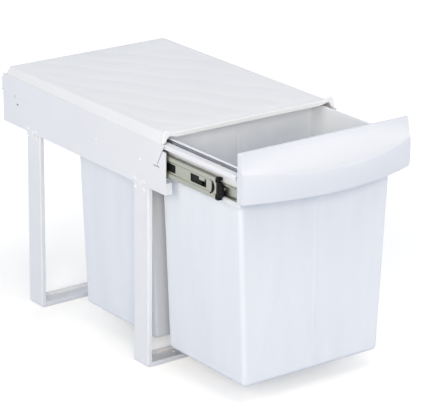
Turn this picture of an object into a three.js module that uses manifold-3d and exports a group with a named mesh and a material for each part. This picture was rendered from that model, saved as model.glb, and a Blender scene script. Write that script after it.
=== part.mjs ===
// A pull-out waste cabinet: a sheet-steel frame on two U-shaped feet, and a drawer on
// ball-bearing slides that carries two bins behind a bowed front.
//
// Millimetres. +Z is up, X runs across the cabinet and the drawer opens along -Y.
// The origin is the middle of the front foot's underside. Everything that slides is drawn
// where it lies with the drawer shut, and its group carries it out to the resting pose.
import * as THREE from "three";
import { mergeVertices } from "three/addons/utils/BufferGeometryUtils.js";
import Module from "manifold-3d";

const wasm = await Module();
wasm.setup();

// ---- Driving dimensions -------------------------------------------------------------

const GAP = 0.3; // clearance between pieces that touch
const SHEET = 1.2; // steel of the frame and drawer
const PAST = 1; // how far a cutting tool runs past a face

// How far the drawer stands open at rest, and the share of its travel that each slide
// member and ball cage makes.
const DRAWER_OUT = 178;
const MIDDLE_SHARE = 0.82;
const OUTER_CAGE_SHARE = MIDDLE_SHARE / 2;
const INNER_CAGE_SHARE = (1 + MIDDLE_SHARE) / 2;

// Side panels: upright sheets that carry the cover, the slides and the feet.
const PANEL = {
  outer: 171, front: -68.8, rear: 404.6, bottom: 305.8,
  topFront: 385.5, topRear: 390, rearReturn: 15,
  tabHalf: 18, tabDrop: 13, tabLean: 3, // tabs that reach down over the feet
  chamfer: 3, creaseZ: 351, creaseDepth: 0.4, creaseWidth: 2.4, creaseRear: 374.6,
};
const PANEL_IN = PANEL.outer - SHEET;
// The front corner: a leaning edge, a lower flap in front of it, and a relief slot.
const CORNER = {
  topY: -64.4, footY: -46, footZ: 352, slit: 1.8,
  flapTop: 375, slotFrontY: -52.5, slotRearY: -36, slotZ: 348.5, slotHeight: 2,
};
const FRONT_TAB = { bottom: 306, top: 325, reach: 12.4 };
const REAR_KEYHOLES = [
  { y: 358.2, z: 344.5, half: 3.6, tall: 1.5 },
  { y: 365, z: 357.2, half: 1.2, tall: 2.2 },
];

// Top cover: a flat pressed sheet with sloping sides, a rolled front edge and wave beads.
const COVER = {
  top: 400, flatHalf: 158, skirtHalf: PANEL_IN - GAP, bevelFoot: 386, skirtFoot: 376.5,
  front: -58.4, rear: 401, rearDrop: 14,
};
// The rolled edge: a bead along the front that rises to an ear and turns down at each end.
const HEM = {
  front: -59.4, depth: 4, top: 401.5, foot: 393, levelHalf: 146,
  ear: [[157, 405.5], [163.5, 406.5], [167.5, 402.5], [171.3, 386.2]],
  throat: [[164, 386.2], [160.8, 393], [156.5, 396.8], [148, 394.4]],
};
const WAVE = {
  pitch: 43, eachWay: 6, lean: THREE.MathUtils.degToRad(-49), swing: 5, swingLength: 118,
  halfWidth: 9, crest: 2.5, height: 0.9, margin: 13, halfLength: 330, step: 14, endTaper: 0.45,
};

// Feet: U-shaped channels, open side inwards.
const FOOT = {
  width: 40, sheet: 1.5, flange: 8, outer: PANEL_IN - GAP, top: 326, bend: 2, chamfer: 3,
  rearY: 312, holeX: 98, holeY: 10, holeR: 3,
};
const RIVET_PATTERN = { y: 12, z: 6.6, centreZ: 306.8, dimpleR: 3, dimpleDepth: 0.7 };
const RIVET = {
  shankR: 2.0, holeR: 2.3, headR: 3.4, headHeight: 1.1, tail: 3.6, tailR: 3, tailHeight: 1,
  dome: [[0, 0], [1, 0], [0.8, 0.7], [0.4, 0.95], [0, 1]],
};
const LAP = 0.2; // how deep joined shapes run into each other

// Rear tie bar between the panels.
const TIE = { bottom: 358, top: 382, depth: 4.2, lip: 3, bend: 1, rivetX: 163.5, half: 170.6 };

// Slides: three members, one inside the other. Depths are measured in from the panel, and
// each half section is a list of (depth, height above the slide's middle).
const SLIDE = {
  z: 351.8, sheet: 1.1,
  outer: {
    front: -60, rear: 390,
    section: [[10.4, 19.6], [8.8, 22.7], [1.9, 22.7], [0.3, 21.1]],
  },
  middle: {
    front: -44.4, rear: 395.6, half: 17.5, back: 2.7, web: 4.6,
    section: [[12, 14.2], [10.8, 17.5], [4.2, 17.5], [2.7, 16.2], [2.7, 10.2], [4.6, 8.6]],
  },
  inner: {
    front: -53.9, rear: 391.1, web: 11.8,
    section: [[7, 8.4], [8.2, 10.7], [11.6, 10.7], [12.9, 9.4]],
  },
};
const OUTER_CAGE = {
  front: 126.5, rear: 206.5, web: 1.8, half: 19.9, reach: 8, ballR: 1.75, ballDepth: 5.6,
};
const INNER_CAGE = {
  front: 9.5, rear: 209.5, web: 6.1, half: 13.85, reach: 9.6, ballR: 2.3, ballDepth: 8.3,
};
const CAGE_SHEET = 0.6;
const BALLS_PER_RACE = 4;
const WINDOWS = [
  { front: -19.4, rear: 20.6, half: 6.5 },
  { front: 59.6, rear: 92, half: 6.5 },
];
const WINDOW_TAB = { front: -15, length: 14, drop: 4.5, thick: 0.8 };
const CRESCENT = { tipY: -33, tipWidth: 2.6, half: 11.2, frontBulge: 7.8, rearBulge: 2.6, steps: 6 };
const BUMPER = {
  collar: 1.6, nub: 6.5, nubThick: 4, nubNear: 6, tip: -60.8, blockHalf: 11.2, back: 3.1,
  inside: 6.6, bore: 11.2, reach: 11.9,
};
const LEVER = { pivotY: 285, length: 62, half: 3.2, tipHalf: 2.2, near: 7.4, far: 10.9, pivotR: 4.6 };
const SLIDE_RIVET_Y = [1.2, 122.6, 288.9];
const SLIDE_RIVET_DROP = 5.2;
const SLIDE_RIVET = { shankR: 1.7, holeR: 2.0, headR: 2.6, headHeight: 0.5, tail: 1.4 };
const DRAWER_SCREW_Y = [-22, 330];
const DRAWER_SCREW = { seat: 11.4, tip: 18 };

// Drawer: side rails with a flange over the slides, three cross rails and a bin carrier.
const RAIL = {
  front: -61, rear: 399, lipX: 167, lipFoot: 377.5, top: 384.5, flangeX: 152.6,
  joggleFoot: 378.6, joggle: 2.6, wallX: 155.2, wallFoot: 330,
};
const CARRIER = { half: 152.3, wall: 1.5, foot: 372.5, top: 388.5, bridge: 1.2, cornerR: 10.4 };
const CROSS = { half: 152.2, foot: 342, tabLength: 6, tabFoot: 346, tabTop: 368 };
const MID_RAIL = { half: 150.4, inset: 2.7, top: 386.9, foot: 362 };

// Bins: two alike, hung by their rims. The front wall stands steeper than the rear one.
const BIN = {
  frontY: -49.1, frontDraft: 0.9, depthTop: 204.9, rearDraft: 4, halfTop: 149.9, halfBottom: 133.4,
  bottom: 29.5, rimTop: 390.5, rimThick: 1.7, rimWidth: 2.4, wall: 2,
  cornerR: 8, cornerLeast: 2, footRound: 7.5, pitch: 236.7,
  beadHalf: 2.6, beadSlope: 2.6, beadHeight: 1.3, beadFoot: 45, beadTop: 369, beadRunOut: 3,
  rimEdge: 0.5, cornerSteps: 5,
};

// Bowed front of the drawer.
const FASCIA = {
  half: 164, back: -61.4, wall: 2.6, bottom: 340.6, top: 419.8, topEdgeY: -67.1, topEdgeThick: 3,
  endFaceY: -73.8, endRidge: 391.6, bowFaceY: -105.4, bowRidge: 381.5, stations: 24,
  // The lower edge's tuck, the face's bulge and the ridge's rounding.
  tuck: 1.5, tuckHeight: 3, bulge: 0.6, ridgeDrop: 4, ridgeRound: 1.2,
  // The scoop above the ridge, as shares of its height and the powers that curve it.
  scoop: [0.12, 0.3, 0.55, 0.8, 1], scoopIn: 1.5, scoopUp: 1.35,
  screwX: [60, 128], screwZ: 362, bossR: 4.6,
};
const SCREW = { shankR: 1.3, holeR: 2.4, headR: 3.8, headHeight: 2.2, reach: 12 };

// ---- Materials ----------------------------------------------------------------------

const finish = (color, roughness, metalness) =>
  new THREE.MeshStandardMaterial({ color, roughness, metalness });
const powderCoat = finish(0xe9ebee, 0.42, 0);
const whitePlastic = finish(0xe6e9f1, 0.4, 0);
const frontPlastic = finish(0xeceef4, 0.35, 0);
const zinc = finish(0xbcbb9f, 0.38, 0.85);
const brightZinc = finish(0xa3a4a8, 0.4, 0.85);
const blackPlastic = finish(0x17181a, 0.5, 0);

// ---- Solids -------------------------------------------------------------------------

// A closed three.js geometry as a solid for joining and cutting.
function solid(geometry) {
  const bare = new THREE.BufferGeometry();
  bare.setAttribute("position", geometry.getAttribute("position"));
  if (geometry.index) bare.setIndex(geometry.index);
  const merged = mergeVertices(bare, 1e-3);
  return new wasm.Manifold(
    new wasm.Mesh({
      numProp: 3,
      vertProperties: new Float32Array(merged.getAttribute("position").array),
      triVerts: new Uint32Array(merged.index.array),
    }),
  );
}

function geometryOf(body) {
  const { vertProperties, triVerts } = body.getMesh();
  const geometry = new THREE.BufferGeometry();
  geometry.setAttribute("position", new THREE.BufferAttribute(vertProperties, 3));
  geometry.setIndex(new THREE.BufferAttribute(triVerts, 1));
  geometry.computeVertexNormals();
  return geometry;
}

const join = (bodies) => bodies.reduce((all, body) => all.add(body));
const cut = (body, tools) => tools.reduce((left, tool) => left.subtract(tool), body);

function box([x0, x1], [y0, y1], [z0, z1]) {
  const geometry = new THREE.BoxGeometry(x1 - x0, y1 - y0, z1 - z0);
  return solid(geometry.translate((x0 + x1) / 2, (y0 + y1) / 2, (z0 + z1) / 2));
}

// Where a flat outline lies: its first and second coordinates and its depth, as axes.
const X = new THREE.Vector3(1, 0, 0);
const Y = new THREE.Vector3(0, 1, 0);
const Z = new THREE.Vector3(0, 0, 1);
const PLANES = {
  x: [Y, Z, X], // outline in (y, z), run along X
  y: [X, Z, Y.clone().negate()], // outline in (x, z), run along Y
  z: [X, Y, Z], // outline in (x, y), run along Z
};

// Extrudes an outline along an axis between two places on it.
function run(outline, axis, from, to) {
  const shape = new THREE.Shape(outline.map(([a, b]) => new THREE.Vector2(a, b)));
  const geometry = new THREE.ExtrudeGeometry(shape, { depth: to - from, bevelEnabled: false });
  const place = new THREE.Matrix4().makeBasis(...PLANES[axis]);
  place.setPosition(axis === "x" ? from : 0, axis === "y" ? to : 0, axis === "z" ? from : 0);
  return solid(geometry.applyMatrix4(place));
}

// A round bar along an axis, centred on (a, b) in that axis's plane.
function bar(axis, [a, b], radius, from, to, sides = 12) {
  const outline = Array.from({ length: sides }, (_, i) => {
    const angle = (2 * Math.PI * (i + 0.5)) / sides;
    return [a + radius * Math.cos(angle), b + radius * Math.sin(angle)];
  });
  return run(outline, axis, from, to);
}

// The outline of a bent sheet: a line of points and the same line moved over by thick,
// to the left of its direction.
function bentSheet(points, thick) {
  const direction = (i) => {
    const [a, b] = [points[i], points[i + 1]];
    const length = Math.hypot(b[0] - a[0], b[1] - a[1]);
    return [(b[0] - a[0]) / length, (b[1] - a[1]) / length];
  };
  const last = points.length - 1;
  const moved = points.map(([x, z], i) => {
    const before = direction(Math.max(i - 1, 0));
    const after = direction(Math.min(i, last - 1));
    const nx = -(before[1] + after[1]);
    const nz = before[0] + after[0];
    const scale = (2 * thick) / (nx * nx + nz * nz);
    return [x + nx * scale, z + nz * scale];
  });
  return [...points, ...moved.reverse()];
}

// A rectangle with round corners, as points from its first corner.
function roundedRectangle([x0, x1], [y0, y1], radius, steps = 5) {
  const corners = [
    [x1 - radius, y1 - radius, 0],
    [x0 + radius, y1 - radius, 1],
    [x0 + radius, y0 + radius, 2],
    [x1 - radius, y0 + radius, 3],
  ];
  return corners.flatMap(([x, y, quarter]) =>
    Array.from({ length: steps + 1 }, (_, i) => {
      const angle = (quarter + i / steps) * (Math.PI / 2);
      return [x + radius * Math.cos(angle), y + radius * Math.sin(angle)];
    }),
  );
}

// Joins rings with equal numbers of points into one closed skin, with a fan at each end.
function loft(rings) {
  const count = rings[0].length;
  const middle = (ring) =>
    ring.reduce((sum, p) => sum.map((v, k) => v + p[k] / ring.length), [0, 0, 0]);
  const vertices = [...rings.flat(), middle(rings[0]), middle(rings.at(-1))];
  const faces = [];
  for (let r = 0; r + 1 < rings.length; r++)
    for (let i = 0; i < count; i++) {
      const [a, b] = [r * count + i, r * count + ((i + 1) % count)];
      faces.push(a, b, b + count, a, b + count, a + count);
    }
  const [first, last, end] = [vertices.length - 2, vertices.length - 1, (rings.length - 1) * count];
  for (let i = 0; i < count; i++) {
    const j = (i + 1) % count;
    faces.push(first, j, i, last, end + i, end + j);
  }
  const geometry = new THREE.BufferGeometry();
  geometry.setAttribute("position", new THREE.Float32BufferAttribute(vertices.flat(), 3));
  geometry.setIndex(faces);
  return solid(geometry);
}

const mix = (a, b, t) => a + (b - a) * t;

// ---- Frame --------------------------------------------------------------------------

// The left side panel, with its creased face, foot tabs, front corner, front tab and
// rear return.
function sidePanel() {
  const { front, rear, bottom, topFront, topRear, tabHalf, tabDrop, tabLean, chamfer } = PANEL;
  const tab = (y) => [
    [y - tabHalf, bottom], [y - tabHalf + tabLean, bottom - tabDrop],
    [y + tabHalf - tabLean, bottom - tabDrop], [y + tabHalf, bottom],
  ];
  const slitY = CORNER.footY - CORNER.slit;
  const flapShare = (CORNER.flapTop - CORNER.footZ) / (topFront - CORNER.footZ);
  const flapY = slitY + (CORNER.topY - CORNER.footY) * flapShare;
  const outline = [
    [front, bottom], ...tab(0), ...tab(FOOT.rearY), [rear, bottom],
    [rear, topRear - chamfer], [rear - chamfer, topRear], [CORNER.topY, topFront],
    [CORNER.footY, CORNER.footZ], [CORNER.footY, CORNER.slotZ],
    [slitY, CORNER.slotZ], [slitY, CORNER.footZ], [flapY, CORNER.flapTop], [front, CORNER.flapTop],
  ];
  const plate = run(outline, "x", -PANEL.outer, -PANEL_IN);
  const rearReturn = box(
    [-PANEL.outer, -PANEL.outer + PANEL.rearReturn], [rear - SHEET, rear],
    [bottom, topRear - chamfer],
  );
  const frontTab = box(
    [-PANEL.outer, -PANEL.outer + FRONT_TAB.reach], [front, front + SHEET],
    [FRONT_TAB.bottom, FRONT_TAB.top],
  );
  const through = [-PANEL.outer - PAST, -PANEL_IN + PAST];
  const relief = box(
    through, [CORNER.slotFrontY, CORNER.slotRearY],
    [CORNER.slotZ - CORNER.slotHeight, CORNER.slotZ],
  );
  const keyholes = REAR_KEYHOLES.map(({ y, z, half, tall }) =>
    box(through, [y - half, y + half], [z - tall, z + tall]),
  );
  const crease = run(
    [
      [-PANEL.outer - PAST, PANEL.creaseZ - PANEL.creaseWidth],
      [-PANEL.outer + PANEL.creaseDepth, PANEL.creaseZ],
      [-PANEL.outer - PAST, PANEL.creaseZ + PANEL.creaseWidth],
    ],
    "y", CORNER.slotRearY, PANEL.creaseRear,
  );
  const footHoles = [0, FOOT.rearY].map((y) =>
    bar("x", [y, RIVET_PATTERN.centreZ], RIVET.holeR, ...through),
  );
  const dimples = [0, FOOT.rearY].flatMap((y) =>
    [-1, 1].flatMap((sy) =>
      [-1, 1].map((sz) =>
        bar(
          "x", [y + sy * RIVET_PATTERN.y, RIVET_PATTERN.centreZ + sz * RIVET_PATTERN.z],
          RIVET_PATTERN.dimpleR, -PANEL.outer - PAST, -PANEL.outer + RIVET_PATTERN.dimpleDepth, 8,
        ),
      ),
    ),
  );
  const slideHoles = SLIDE_RIVET_Y.map((y) =>
    bar("x", [y, SLIDE.z - SLIDE_RIVET_DROP], SLIDE_RIVET.holeR, ...through, 8),
  );
  return cut(join([plate, rearReturn, frontTab]), [
    relief, ...keyholes, crease, ...footHoles, ...dimples, ...slideHoles,
    tieRivetHole(rear - SHEET - PAST, rear + PAST),
  ]);
}

const tieRivetHole = (from, to) =>
  bar("y", [-TIE.rivetX, (TIE.bottom + TIE.top) / 2], RIVET.holeR, from, to);

// A sinuous bead pressed up out of the cover, as a low ridge along a wavy line.
function waveBead(offset) {
  const along = new THREE.Vector2(Math.cos(WAVE.lean), Math.sin(WAVE.lean));
  const across = new THREE.Vector2(-along.y, along.x);
  const centre = new THREE.Vector2(0, (COVER.front + COVER.rear) / 2);
  const inside = ([x, y]) =>
    Math.abs(x) < COVER.flatHalf - WAVE.margin - WAVE.halfWidth &&
    y > COVER.front + WAVE.margin + WAVE.halfWidth &&
    y < COVER.rear - WAVE.margin - WAVE.halfWidth;
  const path = [];
  for (let s = -WAVE.halfLength; s <= WAVE.halfLength; s += WAVE.step) {
    const swing = WAVE.swing * Math.sin((2 * Math.PI * s) / WAVE.swingLength);
    const p = centre.clone().addScaledVector(along, s).addScaledVector(across, offset + swing);
    if (inside([p.x, p.y])) path.push(p);
  }
  if (path.length < 3) return null;
  const base = COVER.top - SHEET / 2;
  const crest = COVER.top + WAVE.height;
  const rings = path.map((p, i) => {
    const end = i === 0 || i === path.length - 1 ? WAVE.endTaper : 1;
    const ring = [
      [-WAVE.halfWidth * end, COVER.top], [-WAVE.crest * end, crest],
      [WAVE.crest * end, crest], [WAVE.halfWidth * end, COVER.top], [0, base],
    ];
    return ring.map(([w, z]) => [p.x + across.x * w, p.y + across.y * w, z]);
  });
  return loft(rings.reverse());
}

// The cover: a pressed sheet over the whole cabinet, with a rolled edge in front.
function topCover() {
  const { flatHalf, skirtHalf, top, bevelFoot, skirtFoot, front, rear, rearDrop } = COVER;
  const halfLine = [[skirtHalf, skirtFoot], [skirtHalf, bevelFoot], [flatHalf, top]];
  const section = [...halfLine, ...halfLine.map(([x, z]) => [-x, z]).reverse()];
  const sheet = run(bentSheet(section, SHEET), "y", front, rear);
  const rearWall = box(
    [-flatHalf, flatHalf], [rear - SHEET, rear], [top - rearDrop, top - SHEET / 2],
  );
  const { levelHalf, top: hemTop, foot: hemFoot, ear, throat } = HEM;
  const hemHalf = [[levelHalf, hemTop], ...ear, ...throat, [levelHalf - HEM.depth, hemFoot]];
  const hemOutline = [...hemHalf, ...hemHalf.map(([x, z]) => [-x, z]).reverse()];
  const hem = run(hemOutline, "y", HEM.front, HEM.front + HEM.depth);
  const beads = [];
  for (let n = -WAVE.eachWay; n <= WAVE.eachWay; n++) beads.push(waveBead(n * WAVE.pitch));
  return join([sheet, rearWall, hem, ...beads.filter(Boolean)]);
}

// A foot: one channel bent into a U, with its flanges turned inwards, at y = 0.
function foot() {
  const { width, sheet, flange, outer, top, bend, chamfer } = FOOT;
  const half = width / 2;
  const underside = [[-outer, bend], [-outer + bend, 0], [outer - bend, 0], [outer, bend]];
  const webLine = [
    ...underside, [outer, top], [outer - sheet, top], [outer - sheet, sheet],
    [-outer + sheet, sheet], [-outer + sheet, top], [-outer, top],
  ];
  const web = run(webLine, "y", -half, half);
  const inner = outer - flange;
  const flangeOutline = [
    ...underside, [outer, top - chamfer], [outer - chamfer, top],
    [inner, top], [inner, flange + chamfer], [inner - chamfer, flange],
    [-inner + chamfer, flange], [-inner, flange + chamfer], [-inner, top],
    [-outer + chamfer, top], [-outer, top - chamfer],
  ];
  const flanges = [-half, half - sheet].map((y) => run(flangeOutline, "y", y, y + sheet));
  const holes = [-1, 1].map((side) =>
    bar("z", [side * FOOT.holeX, FOOT.holeY], FOOT.holeR, -PAST, sheet + PAST),
  );
  const rivetHole = bar(
    "x", [0, RIVET_PATTERN.centreZ], RIVET.holeR, -outer - PAST, outer + PAST,
  );
  return cut(join([web, ...flanges]), [...holes, rivetHole]);
}

// A round-head rivet through the panel and a foot on the left side.
function footRivet() {
  const at = [0, RIVET_PATTERN.centreZ];
  const face = -PANEL.outer;
  const seat = face - GAP;
  const profile = RIVET.dome.map(([r, h]) => new THREE.Vector2(r * RIVET.headR, h * RIVET.headHeight));
  const dome = new THREE.LatheGeometry(profile, 12);
  dome.rotateZ(Math.PI / 2).translate(seat, at[0], at[1]);
  const end = face + RIVET.tail;
  const shank = bar("x", at, RIVET.shankR, seat - LAP, end);
  const tail = bar("x", at, RIVET.tailR, end - LAP, end + RIVET.tailHeight);
  return join([solid(dome), shank, tail]);
}

// A flat rivet that fixes the outer slide member to the panel.
function slideRivet() {
  const at = [0, SLIDE.z - SLIDE_RIVET_DROP];
  const seat = -PANEL.outer - GAP;
  const { shankR, headR, headHeight, tail } = SLIDE_RIVET;
  const head = bar("x", at, headR, seat - headHeight, seat);
  const shank = bar("x", at, shankR, seat - LAP, -PANEL_IN + tail, 8);
  return join([head, shank]);
}

// A tie bar across the back, a shallow channel riveted to the panels' rear returns.
function tieBar() {
  const { bottom, top, depth, lip, bend, half } = TIE;
  const y = PANEL.rear + GAP;
  const line = [
    [y + depth, bottom + lip], [y + depth - bend, bottom], [y, bottom],
    [y, top], [y + depth - bend, top], [y + depth, top - lip],
  ];
  const channel = run(bentSheet(line, -SHEET), "x", -half, half);
  const holes = [-1, 1].map((side) =>
    bar("y", [side * TIE.rivetX, (bottom + top) / 2], RIVET.holeR, y - PAST, y + SHEET + PAST),
  );
  return cut(channel, holes);
}

function tieRivet() {
  const at = [-TIE.rivetX, (TIE.bottom + TIE.top) / 2];
  const face = PANEL.rear + GAP + SHEET;
  const seat = face + GAP;
  const end = face - RIVET.tail;
  const head = bar("y", at, RIVET.headR, seat, seat + RIVET.headHeight);
  const shank = bar("y", at, RIVET.shankR, end, seat + LAP);
  const tail = bar("y", at, RIVET.tailR, end - RIVET.tailHeight, end + LAP);
  return join([head, shank, tail]);
}

// ---- Slides -------------------------------------------------------------------------

// Turns depths in from the panel and heights above the middle into the left slide's (x, z).
const slideX = (depth) => -PANEL_IN + depth;
const slideLine = (points) => points.map(([depth, height]) => [slideX(depth), SLIDE.z + height]);

// One slide member: its half section mirrored about the middle, as a bent sheet. A thick
// below zero puts the sheet on the other side of the line.
function slideMember({ section, front, rear }, thick) {
  const mirrored = section.map(([depth, height]) => [depth, -height]).reverse();
  return run(bentSheet(slideLine([...section, ...mirrored]), thick), "y", front, rear);
}

function outerMember() {
  const { front, rear, section } = SLIDE.outer;
  const channel = slideMember({ section, front, rear }, SLIDE.sheet);
  const z = SLIDE.z - SLIDE_RIVET_DROP;
  const holes = SLIDE_RIVET_Y.map((y) =>
    bar("x", [y, z], SLIDE_RIVET.holeR, slideX(0), slideX(SLIDE.sheet + PAST), 8),
  );
  return cut(channel, holes);
}

// The middle member, with two windows, a lanced tab and a crescent slot near its end.
function middleMember() {
  const { web, back } = SLIDE.middle;
  const channel = slideMember(SLIDE.middle, SLIDE.sheet);
  const through = [slideX(back - PAST), slideX(web + SLIDE.sheet + PAST)];
  const windows = WINDOWS.map((w) =>
    box(through, [w.front, w.rear], [SLIDE.z - w.half, SLIDE.z + w.half]),
  );
  const { tipY, tipWidth, half, frontBulge, rearBulge, steps } = CRESCENT;
  const arc = (y, bulge, sign) =>
    Array.from({ length: steps + 1 }, (_, i) => {
      const share = sign * mix(-1, 1, i / steps);
      return [y - bulge * (1 - share ** 2), SLIDE.z + half * share];
    });
  const moon = [...arc(tipY, frontBulge, 1), ...arc(tipY + tipWidth, rearBulge, -1)];
  const crescent = run(moon, "x", ...through);
  const top = SLIDE.z + WINDOWS[0].half;
  const tab = box(
    [slideX(web), slideX(web + WINDOW_TAB.thick)],
    [WINDOW_TAB.front, WINDOW_TAB.front + WINDOW_TAB.length],
    [top - WINDOW_TAB.drop, top + LAP],
  );
  return join([cut(channel, [...windows, crescent]), tab]);
}

function innerMember() {
  const { web } = SLIDE.inner;
  const channel = slideMember(SLIDE.inner, -SLIDE.sheet);
  const holes = DRAWER_SCREW_Y.map((y) =>
    bar("x", [y, SLIDE.z], SCREW.holeR, slideX(web - PAST), slideX(web + SLIDE.sheet + PAST)),
  );
  return cut(channel, holes);
}

// A ball cage: a thin channel with balls held along both of its edges.
function ballCage({ front, rear, web, half, reach, ballR, ballDepth }) {
  const section = [[reach, half], [web, half]];
  const strip = slideMember({ section, front, rear }, CAGE_SHEET);
  const balls = [];
  for (let n = 0; n < BALLS_PER_RACE; n++)
    for (const side of [-1, 1]) {
      const ball = new THREE.IcosahedronGeometry(ballR, 0);
      const y = mix(front, rear, (n + 0.5) / BALLS_PER_RACE);
      ball.translate(slideX(ballDepth), y, SLIDE.z + side * (half - CAGE_SHEET / 2));
      balls.push(solid(ball));
    }
  return join([strip, ...balls]);
}

// The plastic end of the middle member: a collar, nubs above and below, and a block
// between them.
function bumper() {
  const { front, half, back } = SLIDE.middle;
  const { reach, inside, bore, blockHalf, nub, nubThick, nubNear } = BUMPER;
  const collarFront = front - GAP - BUMPER.collar;
  const outline = slideLine([
    [back, -half], [reach, -half], [reach, -bore], [inside, -bore],
    [inside, bore], [reach, bore], [reach, half], [back, half],
  ]);
  const collar = run(outline, "y", collarFront, front - GAP);
  const block = box(
    [slideX(BUMPER.back), slideX(inside)], [BUMPER.tip, collarFront + LAP],
    [SLIDE.z - blockHalf, SLIDE.z + blockHalf],
  );
  const nubs = [[-half, nubThick - half], [half - nubThick, half]].map(([low, high]) =>
    box(
      [slideX(nubNear), slideX(reach)], [front - GAP - nub, collarFront + LAP],
      [SLIDE.z + low, SLIDE.z + high],
    ),
  );
  return join([collar, block, ...nubs]);
}

// The release lever, on a pivot in the inner member's channel. It is drawn level.
function releaseLever() {
  const { pivotY, length, half, tipHalf, near, far, pivotR } = LEVER;
  const depth = [slideX(near), slideX(far)];
  const outline = [
    [pivotY, SLIDE.z - half], [pivotY, SLIDE.z + half],
    [pivotY - length, SLIDE.z + tipHalf], [pivotY - length, SLIDE.z - tipHalf],
  ];
  const arm = run(outline, "x", ...depth);
  const hub = bar("x", [pivotY, SLIDE.z], pivotR, ...depth, 16);
  return join([arm, hub]);
}

// A pan-head screw that fixes the inner member to the drawer's side rail.
function drawerScrew() {
  const { seat, tip } = DRAWER_SCREW;
  const at = [0, SLIDE.z];
  const head = bar("x", at, SCREW.headR, slideX(seat - SCREW.headHeight), slideX(seat));
  const shank = bar("x", at, SCREW.shankR, slideX(seat - LAP), slideX(tip), 8);
  return join([head, shank]);
}

// ---- Drawer -------------------------------------------------------------------------

// The left side rail: a lip, a flange over the slide, a joggle and the wall.
function sideRail() {
  const line = [
    [-RAIL.lipX, RAIL.lipFoot], [-RAIL.lipX, RAIL.top], [-RAIL.flangeX, RAIL.top],
    [-RAIL.flangeX, RAIL.joggleFoot], [-RAIL.wallX, RAIL.joggleFoot - RAIL.joggle],
    [-RAIL.wallX, RAIL.wallFoot],
  ];
  const rail = run(bentSheet(line, -SHEET), "y", RAIL.front, RAIL.rear);
  const holes = DRAWER_SCREW_Y.map((y) =>
    bar("x", [y, SLIDE.z], SCREW.shankR + GAP, -RAIL.wallX - SHEET - PAST, -RAIL.wallX + SHEET + PAST, 8),
  );
  return cut(rail, holes);
}

const binRear = () => BIN.frontY + BIN.depthTop;
const rimY = (n) => [
  BIN.frontY - BIN.rimWidth + n * BIN.pitch,
  binRear() + BIN.rimWidth + n * BIN.pitch,
];
const DRAWER_Y = [rimY(0)[0], rimY(1)[1]];

// The carrier that the bins' rims rest on: a ladder of upright strips with a bridge
// between its two openings.
function binCarrier() {
  const { half, wall, foot: low, top, bridge, cornerR } = CARRIER;
  const ring = (inset, [y0, y1]) =>
    roundedRectangle([-half + inset, half - inset], [y0 + inset, y1 - inset], cornerR - inset);
  const block = run(ring(0, DRAWER_Y), "z", low, top);
  const wells = [0, 1].map((n) => run(ring(wall, rimY(n)), "z", low - PAST, top + PAST));
  const bridgeY = [rimY(0)[1], rimY(1)[0]];
  const under = box([-half + wall, half - wall], bridgeY, [low - PAST, top - bridge]);
  return cut(block, [...wells, under]);
}

// A cross rail at the front or the back: an upright plate and a shelf towards the bins.
function crossRail(plateY, shelfY, screwHoles) {
  const ordered = (a, b) => (a < b ? [a, b] : [b, a]);
  const plateSpan = ordered(plateY, plateY + Math.sign(shelfY - plateY) * SHEET);
  const across = [-CROSS.half, CROSS.half];
  const plate = box(across, plateSpan, [CROSS.foot, RAIL.top]);
  const shelf = box(across, ordered(plateY, shelfY), [RAIL.top - SHEET, RAIL.top]);
  const [near, far] = [CROSS.half - CROSS.tabLength, RAIL.wallX - GAP];
  const ends = [[-far, -near], [near, far]].map((tab) =>
    box(tab, plateSpan, [CROSS.tabFoot, CROSS.tabTop]),
  );
  const [from, to] = [plateSpan[0] - PAST, plateSpan[1] + PAST];
  const holes = screwHoles.map((x) => bar("y", [x, FASCIA.screwZ], SCREW.holeR, from, to, 8));
  return cut(join([plate, shelf, ...ends]), holes);
}

// The cross rail between the bins, an upturned channel under the carrier's bridge.
function middleRail() {
  const [front, rear] = [rimY(0)[1] + MID_RAIL.inset, rimY(1)[0] - MID_RAIL.inset];
  const outline = bentSheet(
    [[front, MID_RAIL.foot], [front, MID_RAIL.top], [rear, MID_RAIL.top], [rear, MID_RAIL.foot]],
    -SHEET,
  );
  return run(outline, "x", -MID_RAIL.half, MID_RAIL.half);
}

// ---- Bins ---------------------------------------------------------------------------

// One level ring of a bin's skin, at height z and inset from the outer face. A low bead
// runs down the middle of its front and rear walls.
function binRing(z, inset, bead, grow = 0) {
  const t = (z - BIN.bottom) / (BIN.rimTop - BIN.bottom);
  const half = mix(BIN.halfBottom, BIN.halfTop, t) - inset + grow;
  const front = BIN.frontY + BIN.frontDraft * (1 - t) + inset - grow;
  const rear = binRear() - BIN.rearDraft * (1 - t) - inset + grow;
  const radius = Math.max(BIN.cornerR - inset + grow, BIN.cornerLeast);
  const outline = roundedRectangle([-half, half], [front, rear], radius, BIN.cornerSteps);
  const stations = [
    [BIN.beadHalf + BIN.beadSlope, 0], [BIN.beadHalf, bead],
    [-BIN.beadHalf, bead], [-BIN.beadHalf - BIN.beadSlope, 0],
  ];
  const rearFace = stations.map(([x, rise]) => [x, rear + rise]);
  const frontFace = stations.map(([x, rise]) => [-x, front - rise]);
  const perCorner = outline.length / 4;
  const points = [
    ...outline.slice(0, perCorner), ...rearFace,
    ...outline.slice(perCorner, 3 * perCorner), ...frontFace,
    ...outline.slice(3 * perCorner),
  ];
  return points.map(([x, y]) => [x, y, z]);
}

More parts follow.
